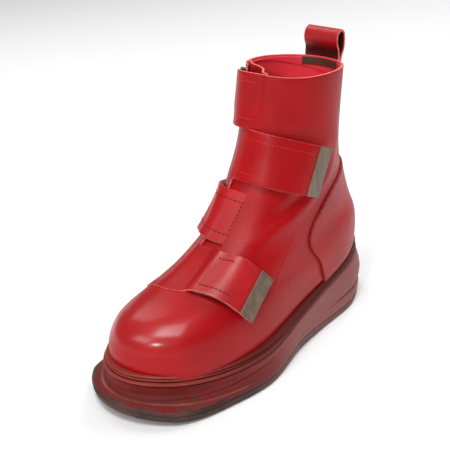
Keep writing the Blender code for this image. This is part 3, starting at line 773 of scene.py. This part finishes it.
def build_upper(materials):
    """The vamp, both quarters and the three straps cut in one with them."""
    fingers = [finger(strap) for strap in STRAPS[:3]]
    edges = [edge for low, top, *_ in fingers for edge in (low, top)]
    keys = sorted({0.0, THROAT_LOW_T, POCKET_LOW_T, 1.0, *edges})
    counts = [max(1, int(round((b - a) / UPPER_ROW_T))) + 1 for a, b in zip(keys, keys[1:])]
    rows = stretches(keys, counts)
    side = stretches(UPPER_KNOTS_PHI, UPPER_COUNTS)
    front = np.linspace(-THROAT_PHI, THROAT_PHI, 17)[1:-1]
    columns = np.concatenate([-side[:-1][::-1], front, side])
    count = len(columns)
    verts = [lifted(columns, rows[:, None], 0.0).reshape(-1, 3)]
    middle = (columns + np.append(columns[1:], columns[0] + 2 * np.pi)) / 2
    t = ((rows[:-1] + rows[1:]) / 2)[:, None]
    throat = (np.abs(middle) < THROAT_PHI) & (t > THROAT_LOW_T)
    pocket = (middle > POCKET_PHI) & (middle < 0) & (t > POCKET_LOW_T)
    grid = np.reshape(grid_faces(len(rows), count, closed=True), (*throat.shape, 4))
    faces = grid[~(throat | pocket)].tolist()
    numbers = [0] * len(faces)
    total = len(rows) * count
    for strap, (low, top, phi, bottom, ceiling) in zip(STRAPS, fingers):
        band = np.flatnonzero((rows >= low - ROUNDING) & (rows <= top + ROUNDING))
        root_column = int(np.argmin(np.abs(columns - strap["root"])))
        share = ((rows[band] - low) / (top - low))[:, None]
        across = bottom + share * (ceiling - bottom)
        verts.append(strap_point(strap, phi, across, SKIN_TOP).reshape(-1, 3))
        index = total + np.arange(across.size).reshape(across.shape)
        index = np.hstack([band[:, None] * count + root_column, index])
        faces += quads(index[:, ::-1] if strap["end"] < 0 else index)
        total += across.size
        numbers += [SECOND * (strap is STRAPS[2])] * (len(faces) - len(numbers))
    used, corners = np.unique(faces, return_inverse=True)
    obj = make_mesh("upper_skin", np.concatenate(verts)[used], corners.reshape(-1, 4), materials)
    mark(obj, numbers)
    settle(thicken(obj, WALL), "red_leather", "upper", "strap_1_collar", "strap_2_ankle",
           "strap_3_instep")


# The fourth strap's quarter: its height over the vamp, and how it sinks to its back edge
QUARTER_LIFT = 0.85
QUARTER_SINK = 0.55
QUARTER_SINK_INNER = 1.2
VAMP_STRAP_KNOTS_PHI = (QUARTER_EDGE[0, 0], -0.05, 0.50, STRAPS[3]["end"])


def build_vamp_strap(materials):
    """The fourth strap and the front edge of the inner quarter that it is cut from."""
    strap = STRAPS[3]
    phi = stretches(VAMP_STRAP_KNOTS_PHI, (60, 60, 60))
    share = np.linspace(0, 1, 30)[:, None]
    half = strap["width"] / 2
    across = -half + share * strap["width"]
    strap_low, top = (strap_place(strap, phi, edge)[1] for edge in (-half, half))
    edge = spline(QUARTER_EDGE[:, 0], QUARTER_EDGE[:, 1], phi)
    low = edge + (strap_low - edge) * ramp(phi, FOLD_LOW_PHI - 0.06, FOLD_LOW_PHI + 0.04)
    top = top - np.maximum(top - QUARTER_TOP_T, 0) * (1 - ramp(phi, 0.05, 0.30))
    sunk = QUARTER_SINK + QUARTER_SINK_INNER * ramp(phi, -0.35, -0.60)
    where_phi, _ = strap_place(strap, phi, across)
    quarter = lifted(where_phi, low + share * (top - low),
                     QUARTER_LIFT - sunk * ramp(share, 0.0, 0.6))
    free = strap_point(strap, phi, across, SKIN_TOP - 0.1)
    fold = FOLD_LOW_PHI + share * (FOLD_TOP_PHI - FOLD_LOW_PHI)
    lift = ramp(phi, fold - 0.08, fold + 0.12)[..., None]
    obj = sheet("vamp_strap_skin", quarter + lift * (free - quarter), 1.6, materials)
    mark(obj, np.tile(np.where(phi[1:] > FOLD_LOW_PHI, SECOND, 0), len(share) - 1))
    settle(obj, "red_leather", "strap_4_vamp")


TONGUE_HALF_PHI = 0.62
TONGUE_LOW_T = 0.37
TONGUE_FOLD_FROM_T = 0.80


def build_tongue(materials):
    """The bellows behind the throat, folded in at the collar."""
    across = np.linspace(0, 1, 60)
    t = np.linspace(TONGUE_LOW_T, 1.0, 64)[:, None]
    hug = lifted(TONGUE_HALF_PHI * (2 * across - 1), t, -(WALL + 0.4), creased=False)
    along = np.linspace(0, 1, len(FOLD))
    fold = np.stack([spline(along, FOLD[:, k], across) for k in (0, 1)], axis=-1)
    front_y, front_z, back_y, back_z = (RING[key][-1] for key in RING_COLUMNS[1:5])
    rim = front_z + (fold[:, 1] - front_y) * (back_z - front_z) / (back_y - front_y)
    blend = ramp(t, TONGUE_FOLD_FROM_T, 1.0)[..., None]
    points = hug.copy()
    points[..., :2] += blend * (fold - hug[..., :2])
    points[..., 2:] += blend * ((rim[:, None] - 0.6) - hug[-1:, :, 2:])
    settle(sheet("tongue_skin", points, 1.7, materials), "red_leather", "tongue")


COUNTER_KNOTS_PHI = (COUNTER["phi"][0], 1.72, 2.0, np.pi)
COUNTER_LIFT = 2.0
COUNTER_THICKNESS = 1.9


def build_counter(materials):
    half = stretches(COUNTER_KNOTS_PHI, (10, 26, 50))
    phi = np.concatenate([half, -half[-2::-1]])
    low, top = (spline(COUNTER["phi"], COUNTER[key], np.abs(phi)) for key in ("low_t", "top_t"))
    share = np.linspace(0, 1, 44)[:, None]
    points = lifted(phi, low + share * (top - low), COUNTER_LIFT)
    settle(sheet("heel_counter_skin", points, COUNTER_THICKNESS, materials), "red_leather",
           "heel_counter")


def build_loop(materials):
    knots = np.arange(len(LOOP["z"]))
    fine = np.linspace(0, knots[-1], knots[-1] * 10 + 1)
    back, z = (spline(knots, LOOP[key], fine) for key in ("back", "z"))
    rows = np.interp(np.minimum(z, RING["back_z"][-1]), RING["back_z"], RING["back_y"])
    x = LOOP_X + np.linspace(-LOOP_WIDTH / 2, LOOP_WIDTH / 2, 33)
    shoulder = upper_point(LOOP_SHOULDER_PHI, 1.0)
    bow = (RING["back_y"][-1] - shoulder[1]) * (x / shoulder[0]) ** 2
    held = 1 - ramp(z, LOOP_HELD_Z, LOOP_FREE_Z)
    y = (rows + back)[:, None] - bow * held[:, None]
    points = np.stack(np.broadcast_arrays(x, y, z[:, None]), axis=-1)
    obj = sheet("pull_loop_skin", points, 1.7, materials, offset=0.0)
    # The front leg takes the leather with painted shade at its foot
    mark(obj, np.repeat(np.where(fine[1:] < LOOP_CROWN, SECOND, 0), len(x) - 1))
    settle(obj, "red_leather", "pull_loop")


# A metal tip in section: its plate along the strap, and the end it is folded over
TIP_PLATE = (-12.5, -0.6)
TIP_TOP = 1.75
TIP_THICKNESS = 1.1
TIP_OUT = 0.9
TIP_IN = 0.05
TIP_FOLD = 0.9
TIP_OVERHANG = 0.25


def build_tips(material):
    """Metal ends: a plate on the strap, folded down over its cut end."""
    outer, inner = ([(a, top) for a in np.linspace(*TIP_PLATE, 8)]
                    + [(end, top), (end, TIP_FOLD), (end, 0.0)]
                    for top, end in ((TIP_TOP + TIP_THICKNESS, TIP_OUT), (TIP_TOP, TIP_IN)))
    along, lift = np.array(outer + inner[::-1]).T
    count = len(along)
    for number, strap in enumerate(STRAPS, start=1):
        half = strap["width"] / 2 + TIP_OVERHANG
        across = np.linspace(-half, half, 25)[:, None]
        points = strap_point(strap, beyond_end(strap, along), across, lift)
        faces = grid_faces(len(across), count, closed=True)
        for base in (0, (len(across) - 1) * count):
            faces += [(base + k, base + k + 1, base + count - 2 - k, base + count - 1 - k)
                      for k in range(count // 2 - 1)]
        obj = make_mesh(f"strap_tip_metal_{number}", points.reshape(-1, 3), faces, [material])
        face_out(obj)
        bevel(obj, 0.28)
        settle(obj, "grey_metal", f"strap_tip_{number}")


# Hook-and-loop tape: set in from the strap's edges, and ending short of the metal tip. Its dark
# ground is painted shade in the gap under each strap, with the tape's own pale fibres.
TAPE_SET_IN = 0.6
TAPE_END = -14.0
TAPE_THICKNESS = 2.3


def build_fasteners(material):
    """Hook-and-loop tape under each strap, down to the quarter it closes on."""
    for number, strap in enumerate(STRAPS, start=1):
        half = strap["width"] / 2 - TAPE_SET_IN
        phi = np.linspace(strap["tape_phi"], beyond_end(strap, TAPE_END), 44)
        across = np.linspace(-half, half, 26)[:, None]
        points = strap_point(strap, phi, across, -0.12)
        obj = sheet(f"fastener_tape_{number}", points, TAPE_THICKNESS, [material], edge=0.25,
                    flip=strap["end"] < 0)
        settle(obj, "tan_hook_tape", f"fastener_{number}")


# The facing inside the collar: its lower edge rises from the heel to the inner side
FACING_LOW_T = 0.940
FACING_RISE_T = 0.046
FACING_RISE_PHI = (-0.4, 1.6)
FACING_TOP_T = 0.992
# The label's place, with phi from the heel
LABEL_PHI = (-0.50, 0.53)
LABEL_T = (0.967, 0.995)


def build_lining(materials, label_material):
    """The facing inside the collar, and the bare label at its back."""
    half = np.linspace(THROAT_PHI, np.pi, 90)
    phi = np.concatenate([half, -half[:-1][::-1]])
    phi = phi[(phi > 0) | (phi < POCKET_PHI)]
    from_heel = np.where(phi < 0, phi + np.pi, phi - np.pi)
    low = FACING_LOW_T + FACING_RISE_T * ramp(from_heel, *FACING_RISE_PHI)
    t = low + np.linspace(0, 1, 6)[:, None] * (FACING_TOP_T - low)
    obj = sheet("collar_facing", lifted(phi, t, -(WALL - 0.1)), 0.7, materials, edge=0.15)
    settle(obj, "red_lining")
    turn = np.linspace(*LABEL_PHI, 30)
    turn = np.where(turn > 0, turn - np.pi, turn + np.pi)
    points = lifted(turn, np.linspace(*LABEL_T, 8)[:, None], -(WALL + 0.8))
    settle(sheet("inner_label", points, 0.5, [label_material], edge=0.12), "red_lining")


# Sole

SOLE_PHI = np.linspace(-np.pi, np.pi, 321)[1:]


def smooth_levels(levels, count):
    """More levels between the given ones."""
    first, *rest = np.array(levels).T
    height = np.unique(np.concatenate([np.linspace(0, 1, count), first]))
    return np.stack([height] + [np.interp(height, first, column) for column in rest], axis=-1)


def press_line(rings, levels):
    """Presses the midsole's line into its side wall."""
    for ring, row in zip(rings, levels):
        share = (ring[:, 1] - SOLE_FRONT) / SOLE_LENGTH
        at, depth = (np.interp(share, MIDSOLE_LINE["share"], MIDSOLE_LINE[key])
                     for key in ("height", "depth"))
        press = depth * np.exp(-(((row[0] - at) / MIDSOLE_LINE_WIDTH) ** 2))
        along = unit((np.roll(ring, -1, axis=0) - np.roll(ring, 1, axis=0))[:, :2])
        ring[:, 0] -= press * along[:, 1]
        ring[:, 1] += press * along[:, 0]
    return rings


def mark_bands(midsole, rings, levels):
    """Gives their materials to the midsole's top edge, which takes the welt's colours, to its lip
    at the toe, a band of painted highlight, and to its dark foot, the outsole's colour, which at
    the toe is partly painted shade.
    """
    height = (levels[:-1, :1] + levels[1:, :1]) / 2
    y = (rings[:-1, :, 1] + rings[1:, :, 1]) / 2
    wave = sum(size * np.sin(turns * SOLE_PHI + start)
               for size, turns, start in MIDSOLE_FOOT_WAVES)
    foot = (MIDSOLE_FOOT + wave) * ramp(y, *MIDSOLE_FOOT_Y)
    bands = np.where(height > MIDSOLE_EDGE_FROM, 1, 0) + np.zeros(y.shape, int)
    bands[(height > MIDSOLE_LIP_HIGHLIGHT[0]) & (height < MIDSOLE_LIP_HIGHLIGHT[1]) & (y < MIDSOLE_TOE_Y)] = 2
    bands[height < foot] = 3
    caps = len(midsole.data.polygons) - bands.size
    mark(midsole, np.concatenate([bands.ravel(), np.zeros(caps, int)]))


def wall_rings(levels, low_z, top_z):
    rings = []
    for row in levels:
        level = dict(zip(LEVEL_COLUMNS, row))
        x, y = sole_ring(SOLE_PHI, level)
        z = low_z(y) + level["height"] * (top_z(y) - low_z(y))
        rings.append(np.stack([x, y, z], axis=-1))
    return rings


def tread_top(y):
    return tread(y) + OUTSOLE_THICKNESS


def loft(name, rings, materials, tube=False):
    """A solid through closed rings, its ends capped across or joined to a tube."""
    rings = np.array(rings)
    rows, count = rings.shape[:2]
    faces = grid_faces(rows, count, closed=True)
    last = (rows - 1) * count
    if tube:
        faces += [(last + c, last + (c + 1) % count, (c + 1) % count, c) for c in range(count)]
    else:
        toe = count // 2 - 1
        for base in (0, last):
            for k in range(count // 2):
                corners = [base + c % count for c in (toe + k, toe + k + 1, toe - k - 1, toe - k)]
                faces.append(tuple(dict.fromkeys(corners)))
    obj = make_mesh(name, rings.reshape(-1, 3), faces, materials)
    face_out(obj)
    obj.data.set_sharp_from_angle(angle=SHARP_SOLE)
    return obj


def cut_grooves(outsole):
    """Takes the tread's grooves out of the outsole."""
    bm = bmesh.new()
    margins = dict.fromkeys(LEVEL_COLUMNS, GROOVE_MARGIN)
    for groove_y in GROOVE_PLACES_Y:
        phi = np.arccos(1 - 2 * (groove_y - SOLE_FRONT) / SOLE_LENGTH)
        out, into = (float(sole_ring(turn, margins)[0]) for turn in (phi, -phi))
        size = np.array([out - into, GROOVE_WIDTH, 2 * GROOVE_DEPTH]) * MM
        at = Matrix.Translation(place([(out + into) / 2, groove_y, 0]))
        bmesh.ops.create_cube(bm, size=1.0, matrix=at @ Matrix.Diagonal((*size, 1.0)))
    mesh = bpy.data.meshes.new("tread_grooves")
    bm.to_mesh(mesh)
    bm.free()
    cutter = new_object("tread_grooves", mesh)
    fill(outsole.modifiers.new("grooves", "BOOLEAN"), operation="DIFFERENCE", solver="EXACT",
         object=cutter)
    bpy.context.view_layer.update()
    graph = bpy.context.evaluated_depsgraph_get()
    done = bpy.data.meshes.new_from_object(outsole.evaluated_get(graph))
    outsole.modifiers.clear()
    outsole.data = done
    bpy.data.objects.remove(cutter)


def build_sole(materials):
    rings = wall_rings(smooth_levels(OUTSOLE_LEVELS, 10), tread, tread_top)
    outsole = loft("outsole_rubber", rings, [materials["outsole"]])
    cut_grooves(outsole)
    outsole.data.set_sharp_from_angle(angle=SHARP_SOLE)
    settle(outsole, "dark_rubber", "outsole")
    levels = smooth_levels(MIDSOLE_LEVELS, 70)
    rings = press_line(wall_rings(levels, lambda y: tread_top(y) + SEAM, bed), levels)
    midsole = loft("midsole_rubber", rings,
                   [materials[name] for name in ("midsole", "welt", "lip", "outsole")])
    mark_bands(midsole, np.array(rings), levels)
    settle(midsole, "burgundy_rubber", "midsole")
    welt_top = float(upper_point(np.pi, WELT_TOP_T)[2] - upper_point(np.pi, 0.0)[2])
    rings = wall_rings(smooth_levels(WELT_LEVELS, 16), lambda y: bed(y) + SEAM,
                       lambda y: bed(y) + welt_top)
    for t, height in ((WELT_TOP_T, welt_top - 0.2), (0.0, SEAM)):
        ring = lifted(SOLE_PHI, t, -0.4)
        ring[:, 2] = bed(ring[:, 1]) + height
        rings.append(ring)
    settle(loft("welt_strip", rings, [materials["welt"]], tube=True), "brown_welt", "welt")
    edge = lifted(SOLE_PHI, 0.0, -(WALL + INSOLE_CLEARANCE), creased=False)
    middle = edge[:, :2].mean(axis=0)
    rings = []
    for height, set_in in INSOLE_LEVELS:
        ring = edge.copy()
        ring[:, :2] -= set_in * unit(edge[:, :2] - middle)
        ring[:, 2] = bed(ring[:, 1]) + height
        rings.append(ring)
    settle(loft("insole_board", rings, [materials["lining"]]), "red_lining", "insole")


# Stitches

STITCH_PITCH = 3.1
STITCH_LENGTH = 2.1
STITCH_RADIUS = 0.28
STITCH_HOLE = 0.62
STITCH_HOLE_DEPTH = 0.5
# Rows of stitches: number of the strap, phi from and to, millimetres across from and to
FAINT_ROWS = (
    (1, (0.10, -1.25), (12.5, 12.5)),
    (1, (0.10, -1.25), (-13.5, -13.5)),
    (2, (0.00, 1.24), (12.0, 12.0)),
    (2, (-0.05, 0.62), (-12.5, -12.5)),
)
DARK_ROWS = (
    (3, (0.27, -1.15), (13.0, 13.0)),
    (3, (0.27, -1.15), (-13.0, -13.0)),
    (3, (0.27, 0.25), (13.0, -13.0)),
    (4, (0.40, 0.74), (12.0, 12.0)),
    (4, (0.46, 0.90), (-12.0, -12.0)),
)


def turned(rings, sides):
    """A closed post along x through rings of (place, radius): its points and faces."""
    turn = np.linspace(0, 2 * np.pi, sides + 1)[:-1]
    points = np.array([(x, r * np.cos(a), r * np.sin(a)) for x, r in rings for a in turn])
    faces = grid_faces(len(rings), sides, closed=True)
    return points, faces + [tuple(range(sides))[::-1], tuple(range(len(points)))[-sides:]]


def thread(length, radius):
    """A short thread along its row."""
    return turned([(-length / 2, radius * 0.35), (-length / 2 + radius, radius),
                   (length / 2 - radius, radius), (length / 2, radius * 0.35)], 6)


def shade_post(radius, depth):
    """A hole's painted shade: a short dark closed post."""
    points, faces = turned([(-depth, radius), (0.0, radius)], 8)
    return np.roll(points, -1, axis=1), faces


def stitch_frames(number, phi, across):
    """Evenly spaced places of a row on a strap's top: point, direction and normal of each."""
    phi, across = np.linspace(*phi, 160), np.linspace(*across, 160)
    fine, above = (strap_point(STRAPS[number - 1], phi, across, SKIN_TOP + over)
                   for over in (0.0, 0.5))
    run = np.concatenate([[0], np.cumsum(np.linalg.norm(np.diff(fine, axis=0), axis=-1))])
    places = np.arange(STITCH_PITCH / 2, run[-1], STITCH_PITCH)

    def read(line, at):
        return np.stack([np.interp(at, run, line[:, k]) for k in range(3)], axis=-1)

    point = read(fine, places)
    direction = unit(read(fine, places + 0.4) - read(fine, places - 0.4))
    normal = read(above, places) - point
    return point, direction, unit(normal - (normal * direction).sum(-1, keepdims=True) * direction)


def scatter(name, template, frames, material):
    """One mesh of the template at every place of the frames."""
    points, faces = template
    verts, all_faces = [], []
    for point, direction, normal in frames:
        side = np.cross(normal, direction)
        for p, d, s, n in zip(point, direction, side, normal):
            all_faces.extend(tuple(i + len(verts) * len(points) for i in f) for f in faces)
            verts.append(p + points[:, :1] * d + points[:, 1:2] * s + points[:, 2:] * n)
    settle(make_mesh(name, np.concatenate(verts), all_faces, [material]), "red_leather")


def build_stitches(dark, faint, hole):
    """Stitches on the straps; the dark ones, which come last, show their holes as dark posts of
    painted shade.
    """
    for name, rows, material in (("faint_stitches", FAINT_ROWS, faint),
                                 ("strap_stitches", DARK_ROWS, dark)):
        frames = [stitch_frames(*row) for row in rows]
        sunk = [(p + n * 0.02, d, n) for p, d, n in frames]
        scatter(name, thread(STITCH_LENGTH, STITCH_RADIUS), sunk, material)
    # Painted shade at the holes of the dark rows
    ends = [(p - d * STITCH_PITCH / 2 + n * 0.05, d, n) for p, d, n in frames]
    scatter("stitch_holes", shade_post(STITCH_HOLE, STITCH_HOLE_DEPTH), ends, hole)


# Stage

CAMERA_TURN = 41.5
CAMERA_RISE = 25.3
CAMERA_DISTANCE = 590.0
CAMERA_TARGET = (0.0, 0.0, 90.0)
CAMERA_SENSOR = 36.0
CAMERA_FOCAL = 783.0 / 450.0
CAMERA_SHIFT = (-17.7 / 450.0, 8.6 / 450.0)
# Lights: name, azimuth, height, distance and size in metres, power
LIGHTS = (
    ("key_box", 26, 68, 2.2, (0.95, 0.8), 26.0),
    ("back_box", 178, 46, 3.1, (2.2, 1.6), 54.0),
    ("left_box", -100, 52, 1.6, (0.8, 0.7), 4.5),
    ("front_box", -5, 38, 1.7, (0.7, 0.6), 4.5),
    ("front_lamp", 22, 25, 1.5, (0.15, 0.12), 4.6),
)
LIGHT_TARGET = (0.0, 0.0, 0.09)
WORLD_STRENGTH = 0.18
FLOOR_Z = -0.0003
FLOOR_CORNERS = ((-4, -4), (4, -4), (4, 4), (-4, 4))
FLOOR_COLOUR = (0.95, 0.95, 0.95, 1.0)


def direction_to(turn, rise):
    """Unit vector at that azimuth, from the front to the outer side, and height."""
    turn, rise = np.radians(turn), np.radians(rise)
    return np.array([np.sin(turn) * np.cos(rise), -np.cos(turn) * np.cos(rise), np.sin(rise)])


def aim(name, data, position, back):
    """A new object at a position in metres, looking along -back."""
    obj = new_object(name, data)
    right = unit(np.cross((0.0, 0.0, 1.0), back))
    matrix = np.eye(4)
    matrix[:3] = np.stack([right, np.cross(back, right), back, position], axis=-1)
    obj.matrix_world = Matrix(matrix.tolist())
    return obj


def softbox(name, turn, rise, distance, size, power):
    light = fill(bpy.data.lights.new(name, "AREA"), shape="RECTANGLE", size=size[0],
                 size_y=size[1], energy=power)
    back = direction_to(turn, rise)
    aim(name, light, np.array(LIGHT_TARGET) + back * distance, back)


def build_stage():
    scene = bpy.context.scene
    mesh = bpy.data.meshes.new("floor")
    mesh.from_pydata([(x, y, FLOOR_Z) for x, y in FLOOR_CORNERS], [], [(0, 1, 2, 3)])
    mesh.materials.append(Nodes("pale_floor").set(Base_Color=FLOOR_COLOUR, Roughness=0.9))
    floor = new_object("floor", mesh)
    world = bpy.data.worlds.new("studio")
    world.use_nodes = True
    background = world.node_tree.nodes["Background"]
    background.inputs["Color"].default_value = (1.0, 1.0, 1.0, 1.0)
    background.inputs["Strength"].default_value = WORLD_STRENGTH
    scene.world = world
    for row in LIGHTS:
        softbox(*row)
    camera = fill(bpy.data.cameras.new("camera"), sensor_width=CAMERA_SENSOR,
                  sensor_fit="HORIZONTAL", lens=CAMERA_SENSOR * CAMERA_FOCAL,
                  shift_x=CAMERA_SHIFT[0], shift_y=CAMERA_SHIFT[1])
    back = direction_to(CAMERA_TURN, CAMERA_RISE)
    position = place(np.array(CAMERA_TARGET) + back * CAMERA_DISTANCE)
    scene.camera = aim("camera", camera, position, back)
    scene.view_settings.view_transform = "Standard"


def build():
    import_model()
    red = leather("red_leather_skin", (174, 3, 12), (161, 2, 9), 0.43, 0.27, polish=0.97)
    strap = leather("strap_leather", (184, 3, 12), (172, 2, 9), 0.42, 0.41)
    bright = leather("vamp_strap_leather", (182, 3, 12), (170, 2, 9), 0.41, 0.68)
    # The foot leather has painted shade, darkening the loop's front leg towards its foot
    loop, foot = (leather(name, (180, 10, 18), (168, 6, 14), 0.41, 0.68, shade=shade)
                  for name, shade in (("loop_leather", None), ("loop_foot_painted_shade_leather", (58, 12, 9))))
    lining = leather("red_lining_skin", (236, 66, 78), (228, 56, 66), 0.62, 0.16, 0.16)
    # A darker copy of the lining: painted shade on the loop's inner face
    inside = leather("loop_inside_painted_shade", (96, 16, 25), (80, 12, 19), 0.62, 0.16, 0.16)
    edge = grained("raw_edge", (205, 82, 82), (238, 138, 130), 700.0, 0.75, 0.35)
    # The heel counter's cut edge: the raw edge's colour, darkened by painted shade of the gap
    # along it
    shaded_edge = grained("counter_edge_painted_shade", (118, 14, 18), (178, 56, 56), 700.0, 0.75, 0.35)
    skin = [red, lining, edge]
    sole = {
        "outsole": rubber("outsole_dark", (86, 60, 54), (62, 45, 40), back=(116, 72, 68)),
        "midsole": rubber("midsole_burgundy", (124, 36, 33), (106, 24, 23), (108, 42, 39),
                          (126, 20, 29), 0.0185, (148, 86, 82)),
        # The welt's light front colours are painted highlight on its ridges at the toe; its back
        # colour is its own darker brown
        "welt": rubber("welt_brown_painted_highlight", (168, 76, 64), (138, 54, 46), back=(98, 37, 32),
                       back_from=-0.115, back_to=-0.045),
        # Pale painted highlight along the lip at the toe
        "lip": rubber("lip_painted_highlight", (148, 82, 72), (122, 64, 56)),
        "lining": lining,
    }
    build_upper(skin + [strap, lining, edge])
    build_vamp_strap(skin + [bright, lining, edge])
    build_tongue(skin)
    build_counter([red, lining, shaded_edge])
    build_loop([loop, inside, edge, foot, inside, edge])
    build_tips(grained("pewter_metal", (108, 92, 78), (132, 113, 97), 260.0, (0.34, 0.46), 0.06,
                       (0.3, 0.7), (3.0, 0.6), (1.0, 1.0, 0.12), Metallic=0.20))
    # Dark ground of painted shade in the gaps under the straps, with the tape's own pale fibres
    build_fasteners(grained("hook_tape", (54, 16, 15), (186, 150, 126), 900.0, 0.95, 1.0,
                            (0.60, 0.72), (4.0, 0.7), depth=0.0008, Sheen_Weight=0.3,
                            Sheen_Roughness=0.6))
    build_lining([lining, lining, edge],
                 grained("label_brown", (72, 46, 32), (80, 52, 36), 600.0, 0.6, 0.3))
    build_sole(sole)
    # The last colour is painted shade in the stitch holes
    build_stitches(grained("thread_red", (158, 10, 17), (175, 12, 20), 600.0, 0.7, 0.3),
                   grained("thread_faint", (196, 30, 36), (216, 34, 41), 600.0, 0.7, 0.3),
                   grained("stitch_hole_painted_shade", (64, 6, 9), (72, 8, 11), 600.0, 0.9, 0.1))
    build_stage()


build()
